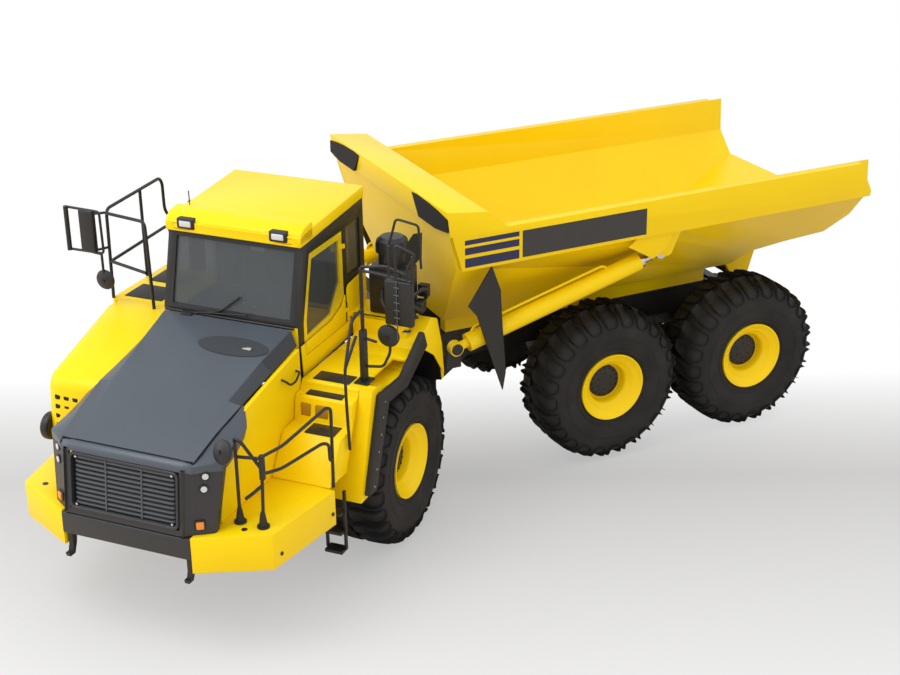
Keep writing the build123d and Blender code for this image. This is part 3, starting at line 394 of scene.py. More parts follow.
for spot, spot_place in wheel_spots.items():
    rim = bmesh.new()
    turn_profile(rim, rim_profile, 72)
    valve = Matrix.Translation((0.0, 0.262, 0.352)) @ Matrix.Rotation(-pi / 2, 4, "X")
    bmesh.ops.create_cone(rim, cap_ends=True, segments=10, radius1=0.008, radius2=0.006, depth=0.07,
                          matrix=valve)
    build(f"dished_rim_{spot}", rim, yellow, f"wheel_{spot}", spot_place, f"wheel_{spot}")
    hub = bmesh.new()
    turn_profile(hub, hub_profile, 48)
    bolts(hub, 16, 0.168, 0.011, 0.140, 0.152)
    bolts(hub, 6, 0.096, 0.009, 0.146, 0.158)
    build(f"planetary_hub_{spot}", hub, black, f"wheel_{spot}", spot_place)


# Hood: one pressed panel with a flat crown and bevelled flanks, painted charcoal,
# with an oval pressing and a chromed latch near the windscreen. Its left flank and the pressing
# are a darker charcoal, painted shade. It lifts about its front edge.
def surface(mesh, rows, ring=False):
    """Stretches faces between rows of points, and shuts them into a ring where asked."""
    lines = [[mesh.verts.new(point) for point in row] for row in rows]
    for near, far in zip(lines, lines[1:]):
        corners = list(zip(near, near[1:], far[1:], far))
        if ring:
            corners.append((near[-1], near[0], far[0], far[-1]))
        for face in corners:
            mesh.faces.new(face)
    if ring:
        mesh.faces.new(lines[0])
        mesh.faces.new(lines[-1])
    return lines


def round_edges(mesh, width, over=25.0, segments=2):
    """Rounds every edge that turns by more than the angle."""
    bmesh.ops.recalc_face_normals(mesh, faces=mesh.faces)
    sharp = [e for e in mesh.edges if e.is_manifold and e.calc_face_angle(0.0) > radians(over)]
    bmesh.ops.bevel(mesh, geom=sharp, offset=width, segments=segments, profile=0.5, affect="EDGES",
                    clamp_overlap=True, material=-1)


def prism(mesh, outline, start, end):
    """Draws an outline of (x, z) out from one y to another."""
    surface(mesh, [[(x, y, z) for x, z in outline] for y in (start, end)], ring=True)


def rod(mesh, start, end, radius, tip=None, segments=24):
    """A round bar, or a cone with another radius at its tip."""
    axis = Vector(end) - Vector(start)
    turn = axis.to_track_quat("Z", "Y").to_matrix().to_4x4()
    place = Matrix.Translation((Vector(start) + Vector(end)) / 2) @ turn
    tip_radius = radius if tip is None else tip
    bmesh.ops.create_cone(mesh, cap_ends=True, segments=segments, radius1=radius, radius2=tip_radius,
                          depth=axis.length, matrix=place)


def both(points):
    """A row of points from the right edge to the left one, mirrored from its left half."""
    return [(x, -y, z) for x, y, z in reversed(points)] + list(points)


charcoal = Finish("charcoal enamel", (0.10, 0.12, 0.15), 0.4, Coat_Weight=0.2, Coat_Roughness=0.2)
charcoal_cloud = charcoal.ramp(charcoal.noise(1.2), 0.3, 0.7)
charcoal.set("Base Color", charcoal.mix(charcoal_cloud, (0.052, 0.066, 0.086), (0.058, 0.073, 0.094)))
charcoal.set("Roughness", charcoal.noise(12.0) * 0.1 + 0.36)
charcoal.bump(charcoal.noise(260.0, 2.0), 0.0003, 0.25)

# painted shade: a darker charcoal for the hood's left flank and its oval pressing, which lie in shade
painted_shade_charcoal = Finish("charcoal in painted shade", (0.030, 0.036, 0.044), 0.6)
painted_shade_charcoal.bump(painted_shade_charcoal.noise(420.0, 2.0), 0.0003, 0.4)

# x, half the crown, half the width, height of the crown, height of the lower edge
hood_rows = ((2.362, 0.748, 0.800, 2.640, 2.476), (2.900, 0.700, 0.800, 2.520, 2.396),
             (3.510, 0.664, 0.800, 2.350, 2.306), (3.925, 0.630, 0.766, 2.212, 2.198),
             (4.289, 0.600, 0.734, 2.080, 2.066))
hood_mesh = bmesh.new()
surface(hood_mesh, [both([(x, crown * 0.5, top), (x, crown - 0.03, top - 0.001), (x, crown, top - 0.006),
                          (x, half, low + 0.014), (x, half + 0.002, low)])
                    for x, crown, half, top, low in hood_rows])
bmesh.ops.recalc_face_normals(hood_mesh, faces=hood_mesh.faces)
if sum(face.normal.z for face in hood_mesh.faces) < 0:
    bmesh.ops.reverse_faces(hood_mesh, faces=hood_mesh.faces)
bmesh.ops.solidify(hood_mesh, geom=list(hood_mesh.faces), thickness=0.022)
hood_skin = build("pressed_hood", hood_mesh, charcoal, "hood", tractor, "hood", crease=20.0)
hood_skin.data.materials.append(painted_shade_charcoal.material)
# faces turned to the left take the darker charcoal, painted shade on that flank
for face in hood_skin.data.polygons:
    face.material_index = 1 if (tractor.to_3x3().inverted() @ face.normal).y > 0.3 else 0

recess = bmesh.new()
bmesh.ops.create_circle(recess, cap_ends=True, segments=48, radius=1.0)
bmesh.ops.scale(recess, vec=(0.150, 0.400, 1.0), verts=recess.verts)
bmesh.ops.inset_region(recess, faces=list(recess.faces), thickness=0.03, depth=0.004)
bmesh.ops.inset_region(recess, faces=[f for f in recess.faces if len(f.verts) > 4], thickness=0.03,
                       depth=-0.006)
hood_slope = Matrix.Rotation(radians(12.3), 4, "Y")
recess_place = Matrix.Translation((2.760, 0.300, 2.558)) @ hood_slope
build("hood_pressing", recess, painted_shade_charcoal, "hood", tractor @ recess_place)


def block(mesh, middle, size, turn=Matrix()):
    """A box of the given size about its middle."""
    place = Matrix.Translation(middle) @ turn @ Matrix.Diagonal((*size, 1.0))
    bmesh.ops.create_cube(mesh, size=1.0, matrix=place)


latch = bmesh.new()
block(latch, (2.775, 0.470, 2.560), (0.05, 0.10, 0.022), hood_slope)
round_edges(latch, 0.006)
build("hood_latch", latch, chrome, "hood", tractor)


# Nose: the moulded mask round the grille, with its shoulders and the lamp panels
# that turn back to the wings on both sides.
def front_x(z, depth=0.0):
    """The leaning front face's x at a height."""
    return 4.450 - 0.122 * (z - 1.345) - depth


dark_panel = Finish("dark panel", (0.026, 0.027, 0.031), 0.45)
dark_panel.set("Roughness", dark_panel.noise(14.0) * 0.12 + 0.38)
dark_panel.bump(dark_panel.noise(300.0, 2.0), 0.0002, 0.3)

# the radiator core's own black, also used as painted shade: dark fill in the cover's air slots, the spill
# guard's slots and the gap under the hood
core_black_and_shade = Finish("radiator core and painted shade", (0.006, 0.006, 0.007), 0.8)
core_black_and_shade.bump(core_black_and_shade.noise(200.0, 2.0), 0.001, 0.5)

lamp_lens = Finish("lamp lens", (0.62, 0.63, 0.64), 0.08, Coat_Weight=0.8)
lamp_lens.bump(lamp_lens.noise(160.0, 1.0), 0.0008, 0.5)

amber = Finish("amber lens", (0.86, 0.26, 0.008), 0.15, Coat_Weight=0.8)
amber.bump(amber.noise(160.0, 1.0), 0.0008, 0.5)

mask = bmesh.new()
columns = (-0.648, -0.612, 0.612, 0.648)
heights = (1.3455, 1.402, 1.985, 2.010)
grid = [[mask.verts.new((front_x(z), y, z)) for y in columns] for z in heights]
for row in range(3):
    for column in range(3):
        if (row, column) != (1, 1):
            mask.faces.new((grid[row][column], grid[row][column + 1], grid[row + 1][column + 1],
                            grid[row + 1][column]))
# the cheek's lower and upper edges, as (x, y) from its rear to the mask
cheek_feet = ((4.190, 0.891), (4.262, 0.899), (4.279, 0.889), (4.400, 0.706), (4.414, 0.688),
              (4.450, 0.648))
cheek_heads = ((4.075, 0.955), (4.136, 0.962), (4.150, 0.955), (4.312, 0.724), (4.328, 0.706),
               (front_x(2.01), 0.648))
for side in (1, -1):
    surface(mask, [[(x, side * y, heights[0]) for x, y in cheek_feet],
                   [(x, side * y, heights[-1]) for x, y in cheek_heads]])
bmesh.ops.remove_doubles(mask, verts=mask.verts, dist=0.0005)
bmesh.ops.recalc_face_normals(mask, faces=mask.faces)
bmesh.ops.solidify(mask, geom=list(mask.faces), thickness=0.025)
build("grille_mask", mask, dark_panel, "tractor", tractor, "nose", crease=24.0)

brow = bmesh.new()
brow_back = 4.2935
brow_outline = ((brow_back, 1.990), (brow_back, 2.068), (4.325, 2.068), (4.352, 2.052), (4.372, 2.020),
                (4.378, 1.990))
# y, how far the brow turns back there, how far it drops
brow_rows = ((-0.735, 0.040, 0.022), (-0.690, 0.018, 0.008), (-0.600, 0.0, 0.0), (0.600, 0.0, 0.0),
             (0.690, 0.018, 0.008), (0.735, 0.040, 0.022))
surface(brow, [[(max(x - sweep, brow_back), y, z - drop) for x, z in brow_outline]
               for y, sweep, drop in brow_rows], ring=True)
build("nose_brow", brow, charcoal, "tractor", tractor, crease=28.0)
# painted shade: a dark strip that fills the gap under the hood's front edge
hood_gap_shade = bmesh.new()
block(hood_gap_shade, (4.250, 0.0, 2.030), (0.120, 1.420, 0.016))
build("hood_gap_shade", hood_gap_shade, core_black_and_shade, "tractor", tractor)

# x, inner y and height, outer y and height, depth
shoulder_rows = ((3.470, 0.801, 2.316, 0.812, 2.300, 0.03), (3.520, 0.801, 2.300, 0.856, 2.270, 0.05),
                 (3.590, 0.801, 2.281, 0.905, 2.205, 0.06), (3.690, 0.792, 2.251, 0.930, 2.150, 0.07),
                 (3.850, 0.776, 2.209, 0.945, 2.100, 0.08), (4.020, 0.758, 2.150, 0.958, 2.066, 0.085),
                 (4.120, 0.748, 2.112, 0.964, 2.050, 0.085), (4.160, 0.744, 2.096, 0.955, 2.046, 0.085),
                 (4.235, 0.738, 2.074, 0.850, 2.046, 0.080), (4.330, 0.728, 2.046, 0.738, 2.044, 0.075))
for side, side_name in ((1, "left"), (-1, "right")):
    shoulder = bmesh.new()
    surface(shoulder, [[(x, side * y0, z1 - depth), (x, side * y1, z1 - depth), (x, side * y1, z1),
                        (x, side * y0, z0)]
                       for x, y0, z0, y1, z1, depth in shoulder_rows], ring=True)
    round_edges(shoulder, 0.012, 30.0, 3)
    build(f"nose_shoulder_{side_name}", shoulder, charcoal, "tractor", tractor, crease=26.0)

    outward = Vector((0.838, side * 0.546, 0.0))
    lamp_seats = bmesh.new()
    lamp_glass = bmesh.new()
    for place in ((4.251, side * 0.820, 1.930), (4.275, side * 0.810, 1.806)):
        rod(lamp_seats, Vector(place) - outward * 0.03, Vector(place) + outward * 0.012, 0.047)
        rod(lamp_glass, Vector(place) - outward * 0.01, Vector(place) + outward * 0.017, 0.036, 0.030)
    build(f"lamp_seats_{side_name}", lamp_seats, black, "tractor", tractor)
    build(f"small_lamps_{side_name}", lamp_glass, lamp_lens, "tractor", tractor,
          *(["lamps"] if side > 0 else []))
    signal = bmesh.new()
    facing = outward.to_track_quat("Z", "X").to_matrix().to_4x4()
    block(signal, (4.345, side * 0.781, 1.445), (0.075, 0.075, 0.05), facing)
    round_edges(signal, 0.010)
    build(f"turn_signal_{side_name}", signal, amber, "tractor", tractor)
    surround = bmesh.new()
    block(surround, (4.338, side * 0.777, 1.445), (0.105, 0.105, 0.03), facing)
    round_edges(surround, 0.010)
    build(f"signal_surround_{side_name}", surround, black, "tractor", tractor)


# Grille: a cast frame with rounded corners, eleven bowed slats whose ends turn back,
# two thin dividers and the radiator's dark core behind them.
def rounded(half, rise, radius, steps=6):
    """A rectangle with round corners, as (y, height) from its middle."""
    points = []
    for quarter, (sy, sz) in enumerate(((1, 1), (-1, 1), (-1, -1), (1, -1))):
        for step in range(steps + 1):
            angle = pi / 2 * (quarter + step / steps)
            points.append((sy * (half - radius) + radius * cos(angle),
                           sz * (rise - radius) + radius * sin(angle)))
    return points


slat_paint = Finish("slat enamel", (0.055, 0.062, 0.072), 0.35, Coat_Weight=0.3)
slat_paint.set("Roughness", slat_paint.noise(20.0) * 0.1 + 0.3)

grille_middle = 1.6935
# half the width, half the height, corner radius, depth behind the leaning front
frame_loops = ((0.611, 0.2905, 0.060, 0.012), (0.611, 0.2905, 0.060, -0.014),
               (0.606, 0.2855, 0.058, -0.020), (0.590, 0.2700, 0.046, -0.020),
               (0.582, 0.2620, 0.042, -0.012), (0.578, 0.2580, 0.040, 0.075))
grille = bmesh.new()
lines = []
for half, rise, radius, depth in frame_loops:
    corners = [(y, grille_middle + height) for y, height in rounded(half, rise, radius)]
    lines.append([grille.verts.new((front_x(z, depth), y, z)) for y, z in corners])
for near, far in zip(lines, lines[1:]):
    for face in zip(near, near[1:] + near[:1], far[1:] + far[:1], far):
        grille.faces.new(face)
build("grille_frame", grille, dark_panel, "tractor", tractor, "grille", crease=40.0)

slat_count, lowest_slat, slat_pitch = 11, 1.462, 0.0465
# y and how far the slat turns back there, then the blade's section as (depth, height)
slat_bow = ((-0.574, 0.060), (-0.566, 0.034), (-0.548, 0.010), (-0.500, 0.003), (0.0, 0.0),
            (0.500, 0.003), (0.548, 0.010), (0.566, 0.034), (0.574, 0.060))
slat_section = ((0.040, 0.016), (0.036, 0.020), (0.006, 0.013), (0.0, 0.004), (0.002, -0.008),
                (0.010, -0.012), (0.012, -0.004), (0.018, 0.004))
slats = bmesh.new()
for number in range(slat_count):
    z = lowest_slat + number * slat_pitch
    surface(slats, [[(front_x(z, 0.004 + back) - depth, y, z + height) for depth, height in slat_section]
                    for y, back in slat_bow], ring=True)
build("grille_slats", slats, slat_paint, "tractor", tractor, crease=35.0)
dividers = bmesh.new()
for y in (-0.200, 0.200):
    prism(dividers, [(front_x(z, depth), z)
                     for z, depth in ((1.437, 0.050), (1.437, 0.0), (1.952, 0.0), (1.952, 0.050))],
          y - 0.009, y + 0.009)
round_edges(dividers, 0.003)
build("grille_dividers", dividers, slat_paint, "tractor", tractor)
core = bmesh.new()
prism(core, [(front_x(z, depth), z)
             for z, depth in ((1.40, 0.10), (1.40, 0.08), (1.99, 0.08), (1.99, 0.10))], -0.60, 0.60)
build("radiator_core", core, core_black_and_shade, "tractor", tractor)
grille_bolts = bmesh.new()
for y in (-0.535, 0.535):
    for z in (1.452, 1.936):
        rod(grille_bolts, (front_x(z, 0.03), y, z), (front_x(z, -0.006), y, z), 0.013, segments=6)
build("grille_bolts", grille_bolts, chrome, "tractor", tractor)


# Pressed panels: the engine side panel, the bumper with its yellow wings and the cab roof are
# folded sheet steel, and their folds and cut edges are rounded to a radius.
def soften(node, finish, body, width, over=25.0):
    """A copy of the CAD node with rounded folds; it stands for the node."""
    mesh = bmesh.new()
    mesh.from_mesh(frame["nodes"][node].data)
    bmesh.ops.remove_doubles(mesh, verts=mesh.verts, dist=0.0002)
    bmesh.ops.dissolve_limit(mesh, angle_limit=radians(0.8), verts=mesh.verts, edges=mesh.edges)
    sharp = [e for e in mesh.edges
             if e.is_manifold and e.calc_face_angle(0.0) > radians(over) and e.calc_length() > 2.2 * width]
    bmesh.ops.bevel(mesh, geom=sharp, offset=width, segments=2, profile=0.5, affect="EDGES",
                    clamp_overlap=True, material=-1)
    return build(f"pressed_{node}", mesh, finish, body, Matrix(), node, crease=35.0)


flank = bmesh.new()
flank_outline = ((2.390, 1.2903), (4.085, 1.2903), (3.960, 1.900), (3.900, 2.080), (3.510, 2.284),
                 (2.900, 2.384), (2.390, 2.462))
prism(flank, flank_outline, 0.8003, 0.8497)
round_edges(flank, 0.010, segments=3)
build("side_panel", flank, yellow, "tractor", tractor, "side_panel_left")
soften("bumper_wings", yellow, "tractor", 0.012)
soften("bumper_beam", dark_panel, "tractor", 0.012)
soften("cab_roof", yellow, "tractor", 0.012)


def tubes(name, finish, body, place, radius, *paths, bend=0.07):
    """Bent round tubes along the paths, as one piece."""
    line = bpy.data.curves.new(name, "CURVE")
    line.dimensions = "3D"
    line.bevel_depth = radius
    line.bevel_resolution = 3
    line.use_fill_caps = True
    for path in paths:
        points = [Vector(point) for point in path]
        smooth = [points[0]]
        for before, point, after in zip(points, points[1:], points[2:]):
            reach = min(bend, (before - point).length * 0.45, (after - point).length * 0.45)
            start = point + (before - point).normalized() * reach
            end = point + (after - point).normalized() * reach
            smooth += [start.lerp(point, t / 4).lerp(point.lerp(end, t / 4), t / 4) for t in range(5)]
        smooth.append(points[-1])
        spline = line.splines.new("POLY")
        spline.points.add(len(smooth) - 1)
        for knot, point in zip(spline.points, smooth):
            knot.co = (*(place @ point), 1.0)
    line.materials.append(finish.material)
    piece = bpy.data.objects.new(name, line)
    bpy.context.scene.collection.objects.link(piece)
    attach(piece, body)
    return piece


def boxes(name, finish, body, place, *spans, width=0.006):
    """Rounded blocks as one piece, each from (x, y, z) to (x, y, z)."""
    mesh = bmesh.new()
    for low, high in spans:
        low, high = Vector(low), Vector(high)
        block(mesh, (low + high) / 2, high - low)
    round_edges(mesh, width)
    return build(name, mesh, finish, body, place)


# Right cover: a rounded steel housing whose front has three columns of air slots, filled with dark
# blocks that are painted shade, with the round black outlet on its side and the yellow deck behind it.

# outline of the cover's side as (x, z); its front is x over 3, its crown is z over 2.1
cover_outline = ((3.660, 1.3455), (3.632, 1.850), (3.600, 2.187), (3.575, 2.250), (3.512, 2.301),
                 (2.230, 2.541), (2.060, 2.541), (2.060, 2.170), (2.390, 2.145), (2.425, 2.060),
                 (2.625, 1.3455))
# y of the front, y of the rear, how far the front is pulled back, how far the crown drops
cover_rows = ((-0.801, -0.801, 0.0, 0.0), (-1.240, -1.380, 0.0, 0.0), (-1.320, -1.460, 0.012, 0.004),
              (-1.380, -1.510, 0.040, 0.014), (-1.420, -1.540, 0.085, 0.032),
              (-1.440, -1.560, 0.160, 0.060))
cover = bmesh.new()
surface(cover, [[(x - (pull if x > 3.0 else 0.0), front if x > 3.0 else rear,
                  z - (drop if z > 2.1 else 0.0)) for x, z in cover_outline]
                for front, rear, pull, drop in cover_rows], ring=True)
round_edges(cover, 0.014, 40.0, 3)
build("cover_shell", cover, yellow, "tractor", tractor, "cover_right", crease=30.0)
# painted shade: dark blocks inside the cover's air slots
slot_shade_spans = [((3.600 - 0.06 * (z - 1.45), y - 0.036, z),
               (3.664 - 0.072 * (z - 1.345), y + 0.036, z + 0.052))
              for z in [1.46 + 0.1 * number for number in range(7)] for y in (-1.060, -1.165, -1.270)]
boxes("cover_slot_shade", core_black_and_shade, "tractor", tractor, *slot_shade_spans, width=0.012)
outlet = bmesh.new()
rod(outlet, (3.560, -1.380, 1.720), (3.560, -1.478, 1.720), 0.145)
round_edges(outlet, 0.03, 50.0, 3)
build("cover_outlet", outlet, black, "tractor", tractor)
boxes("right_deck", yellow, "tractor", tractor, ((0.860, -1.600, 2.501), (2.0597, -0.8003, 2.541)),
      ((1.000, -1.600, 2.300), (2.0597, -1.570, 2.520)))


# Front fenders: a rubber flare bolted along the leg and the slope, a yellow plate at the rear
# and a black liner under the arch.
flap_rubber = Finish("flap rubber", (0.015, 0.015, 0.016), 0.6)
flap_rubber.bump(flap_rubber.noise(90.0, 4.0), 0.0008, 0.3)

flare_outline = ((2.650, 1.065), (2.300, 2.050), (1.760, 2.035), (1.240, 2.330), (1.160, 2.140),
                 (1.690, 1.880), (2.130, 1.900), (2.480, 1.065))
rear_outline = ((1.226, 2.217), (0.935, 2.352), (0.776, 2.292), (0.655, 1.930), (0.612, 1.560),
                (0.873, 1.896), (1.205, 2.116))
arch = ((0.655, 1.510), (0.715, 1.848), (0.822, 2.232), (0.925, 2.280), (1.500, 1.925), (1.900, 1.915),
        (2.235, 2.035), (2.530, 1.010))
inner_arch = ((2.515, 1.005), (2.225, 2.015), (1.900, 1.900), (1.495, 1.910), (0.925, 2.262),
              (0.834, 2.222), (0.730, 1.845), (0.670, 1.508))
for side, side_name in ((1, "left"), (-1, "right")):
    flare = bmesh.new()
    prism(flare, flare_outline, side * 1.6505, side * 1.722)
    round_edges(flare, 0.016, 25.0, 3)
    build(f"fender_flare_{side_name}", flare, flap_rubber, "tractor", tractor,
          *(["fender_flares"] if side > 0 else []))
    rear = bmesh.new()
    prism(rear, rear_outline, side * 1.6505, side * 1.664)
    round_edges(rear, 0.005)
    build(f"fender_rear_plate_{side_name}", rear, yellow, "tractor", tractor)
    liner = bmesh.new()
    prism(liner, arch + inner_arch, side * 0.886, side * 1.648)
    build(f"fender_liner_{side_name}", liner, black, "tractor", tractor)
    boxes(f"fender_flap_{side_name}", flap_rubber, "tractor", tractor,
          ((0.580, side * 1.35 - 0.2, 1.180), (0.594, side * 1.35 + 0.2, 1.900)), width=0.003)
    flare_bolts = bmesh.new()
    for share in (0.06, 0.24, 0.42, 0.60, 0.78, 0.94):
        x, z = 2.565 - 0.350 * share, 1.080 + 0.930 * share
        rod(flare_bolts, (x, side * 1.70, z), (x, side * 1.726, z), 0.012, segments=6)
    build(f"flare_bolts_{side_name}", flare_bolts, chrome, "tractor", tractor)


# Cab: yellow panels below and behind, with the windscreen, its pillars and the door frame
# in black, a recessed lamp at each front corner of the roof and the wiper on the screen.
cab_skin = soften("cab_shell", yellow, "tractor", 0.008)
cab_skin.data.materials.append(black.material)
for face in cab_skin.data.polygons:
    spot = tractor.inverted() @ face.center
    face.material_index = 1 if spot.z > 2.42 else 0
cab_flank = bmesh.new()
cab_flank_outline = ((2.254, 2.085), (2.283, 2.432), (2.176, 2.436), (2.176, 2.294), (1.225, 2.294),
                     (1.225, 2.680), (1.190, 2.716), (0.829, 2.747), (0.760, 2.700), (0.760, 2.400),
                     (0.971, 2.131))
prism(cab_flank, cab_flank_outline, 0.800, 0.814)
round_edges(cab_flank, 0.006)
build("cab_flank", cab_flank, yellow, "tractor", tractor)
door_flank = bmesh.new()
prism(door_flank, ((2.168, 2.302), (2.168, 2.437), (1.600, 2.452), (1.349, 2.525), (1.266, 2.625),
                   (1.266, 2.302)), 0.801, 0.814)
round_edges(door_flank, 0.004)
build("door_flank", door_flank, yellow, "cab_door", tractor)
for side, side_name in ((1, "left"), (-1, "right")):
    pod = bmesh.new()
    block(pod, (2.112, side * 0.540, 3.548), (0.120, 0.205, 0.115))
    round_edges(pod, 0.018, segments=3)
    build(f"roof_lamp_pod_{side_name}", pod, black, "tractor", tractor)
    lens = bmesh.new()
    block(lens, (2.134, side * 0.540, 3.548), (0.086, 0.145, 0.072))
    round_edges(lens, 0.014, segments=3)
    build(f"roof_lamp_lens_{side_name}", lens, lamp_lens, "tractor", tractor)
# y and the height of the fascia's lower edge, which drops round each lamp
fascia_feet = ((-0.790, 3.480), (-0.430, 3.480), (-0.380, 3.505), (-0.340, 3.545), (0.340, 3.545),
               (0.380, 3.505), (0.430, 3.480), (0.790, 3.480))
fascia = bmesh.new()
surface(fascia, [[(2.150, y, foot), (2.150, y, foot + 0.030), (2.125, y, 3.590), (2.060, y, 3.632),
                  (1.940, y, 3.655), (1.880, y, 3.655), (1.880, y, foot)]
                 for y, foot in fascia_feet], ring=True)
round_edges(fascia, 0.012, 30.0, 3)
build("roof_fascia", fascia, yellow, "tractor", tractor)
tubes("wiper", black, "tractor", tractor, 0.010,
      ((2.345, -0.48, 2.640), (2.335, -0.30, 2.665), (2.325, 0.22, 2.705)),
      ((2.350, -0.44, 2.635), (2.300, -0.10, 2.700), (2.250, 0.10, 2.860)), bend=0.03)
boxes("wiper_motor", black, "tractor", tractor, ((2.310, -0.54, 2.600), (2.400, -0.40, 2.660)),
      width=0.015)
tubes("screen_foot", black, "tractor", tractor, 0.016, ((2.325, -0.76, 2.640), (2.325, 0.76, 2.640)))
tubes("antennas", black, "tractor", tractor, 0.006, ((1.80, -0.70, 3.60), (1.79, -0.71, 3.77)))
tubes("roof_loops", yellow, "tractor", tractor, 0.010,
      ((1.90, -0.55, 3.575), (1.90, -0.55, 3.612), (1.80, -0.55, 3.620), (1.80, -0.55, 3.585)),
      ((1.90, 0.35, 3.575), (1.90, 0.35, 3.612), (1.80, 0.35, 3.620), (1.80, 0.35, 3.585)), bend=0.02)
tubes("grab_handle", black, "tractor", tractor, 0.012,
      ((2.490, 0.842, 2.262), (2.490, 0.895, 2.255), (2.590, 0.900, 2.192), (2.700, 0.900, 2.200),
       (2.790, 0.895, 2.278), (2.790, 0.842, 2.290)), bend=0.04)


# Handrails on the right deck: a guard frame that leans out over the deck's edge,
# with the mirrors hung on a frame of their own beside it.
deck_high = 2.541
tubes("right_guard", black, "tractor", tractor, 0.018,
      ((2.074, -1.580, deck_high), (2.024, -1.600, 3.531), (0.989, -1.600, 3.561), (0.938, -1.600, 3.487),
       (0.933, -1.600, 3.167), (0.764, -1.600, 2.980), (0.764, -1.600, 2.545)),
      ((2.182, -1.000, deck_high), (2.219, -1.000, 3.528), (2.060, -1.570, 3.500)),
      ((2.045, -1.600, 2.943), (0.932, -1.600, 2.976), (0.858, -1.600, 2.915), (0.858, -1.600, 2.545)),
      ((2.050, -1.590, 2.954), (2.268, -1.000, 2.978)),
      ((1.380, -1.600, deck_high), (1.380, -1.600, 3.542)))
tubes("right_mirror_frame", black, "tractor", tractor, 0.014,
      ((2.050, -1.606, 3.500), (2.320, -1.640, 3.560), (2.320, -1.480, 3.600)),
      ((2.060, -1.606, 3.110), (2.320, -1.640, 3.150), (2.320, -1.500, 3.140)),
      ((2.320, -1.889, 3.150), (2.320, -1.889, 3.620), (2.320, -1.480, 3.610), (2.320, -1.470, 3.150),
       (2.320, -1.889, 3.150)),
      ((2.320, -1.500, 3.150), (2.330, -1.490, 2.850)), bend=0.04)
tubes("right_mirror_upright", black, "tractor", tractor, 0.026,
      ((2.330, -1.889, 3.140), (2.330, -1.889, 3.630)))


def mirror(name, place, half, rise, *replaced):
    """A mirror's moulded back with its glass, square on x."""
    shell = bmesh.new()
    block(shell, (0.0, 0.0, 0.0), (0.07, 2 * half, 2 * rise))
    round_edges(shell, 0.022, segments=3)
    build(f"{name}_back", shell, black, "tractor", tractor @ place, *replaced)
    glass_sheet = bmesh.new()
    block(glass_sheet, (-0.036, 0.0, 0.0), (0.006, 2 * half - 0.03, 2 * rise - 0.03))
    build(f"{name}_glass", glass_sheet, chrome, "tractor", tractor @ place)


def round_mirror(name, place, radius):
    """A round mirror with a domed back and a boss in its middle."""
    bowl = bmesh.new()
    profile = ((0.001, 0.050), (radius * 0.16, 0.050), (radius * 0.18, 0.034), (radius * 0.55, 0.026),
               (radius * 0.93, 0.006), (radius, -0.008),
               (radius * 0.985, -0.020), (radius * 0.95, -0.022), (0.001, -0.012))
    ring = [bowl.verts.new((depth, 0.0, reach)) for reach, depth in profile]
    edges = [bowl.edges.new(pair) for pair in zip(ring, ring[1:])]
    bmesh.ops.spin(bowl, geom=ring + edges, cent=(0, 0, 0), axis=(1, 0, 0), angle=2 * pi, steps=48,
                   use_merge=True)
    build(name, bowl, black, "tractor", tractor @ place)


mirror("right_mirror", Matrix.Translation((2.320, -1.640, 3.385)), 0.090, 0.235)
round_mirror("right_round_mirror", Matrix.Translation((2.320, -1.490, 2.850)), 0.110)
boxes("deck_mats", flap_rubber, "tractor", tractor,
      ((1.62, -1.50, deck_high - 0.004), (1.98, -1.04, deck_high + 0.008)),
      ((1.15, -1.50, deck_high - 0.004), (1.50, -1.04, deck_high + 0.008)), width=0.003)


# Left mirrors and rails: a post on a gusset at the deck's corner carries the tall mirror,
# a ladder of thin rods and a round mirror, with rails round the deck behind it.
tubes("left_post", black, "tractor", tractor, 0.020, ((2.205, 1.480, 2.13), (2.205, 1.480, 3.360)))
boxes("left_post_gusset", black, "tractor", tractor, ((2.110, 1.400, 2.128), (2.300, 1.560, 2.145)),
      ((2.165, 1.450, 2.135), (2.245, 1.510, 2.700)))
tubes("left_rails", black, "tractor", tractor, 0.015,
      ((2.205, 1.480, 3.335), (2.205, 1.600, 3.334), (2.205, 2.030, 3.290)),
      ((2.205, 1.485, 3.375), (2.205, 1.760, 3.420), (2.205, 1.990, 3.350)),
      ((2.205, 1.985, 3.285), (2.205, 1.985, 3.420), (2.205, 2.080, 3.580), (2.205, 1.860, 3.660),
       (2.205, 1.860, 3.300)),
      ((2.205, 2.045, 3.280), (2.205, 2.045, 3.560)), ((2.205, 1.790, 3.310), (2.205, 1.790, 3.640)),
      ((2.205, 1.485, 2.615), (2.205, 1.630, 2.590)),
      ((2.205, 1.485, 2.300), (2.205, 1.700, 2.330), (2.205, 1.780, 2.500), (2.205, 1.780, 2.620)),
      bend=0.05)
tubes("left_ladder", slat_paint, "tractor", tractor, 0.007, ((2.235, 1.880, 3.290), (2.235, 1.880, 2.660)),
      *[((2.235, 1.850, z), (2.235, 1.910, z)) for z in (3.22, 3.14, 3.06, 2.98, 2.90, 2.82)])
mirror("left_mirror", Matrix.Translation((2.190, 1.890, 3.045)), 0.152, 0.240, "mirrors")
round_mirror("left_round_mirror", Matrix.Translation((2.205, 1.761, 2.675)), 0.120)
tubes("left_upper_rail", black, "tractor", tractor, 0.013,
      ((1.60, 1.45, 3.20), (1.62, 1.60, 3.70), (1.62, 1.85, 3.66), (1.62, 1.87, 3.20)), bend=0.04)


# Behind the cab: the air cleaner and its hood, the exhaust, the black plate over the steps
# of the left deck, and hoses with their valves.
fin_outline = ((1.431, 3.205), (1.506, 3.316), (1.600, 3.340), (1.590, 3.064), (1.491, 2.947),
               (1.400, 2.960))
fin = bmesh.new()
surface(fin, [[(x, y, z) for y, z in fin_outline] for x in (0.985, 1.010)], ring=True)
build("intake_fin", fin, black, "tractor", tractor, "deck_gear")
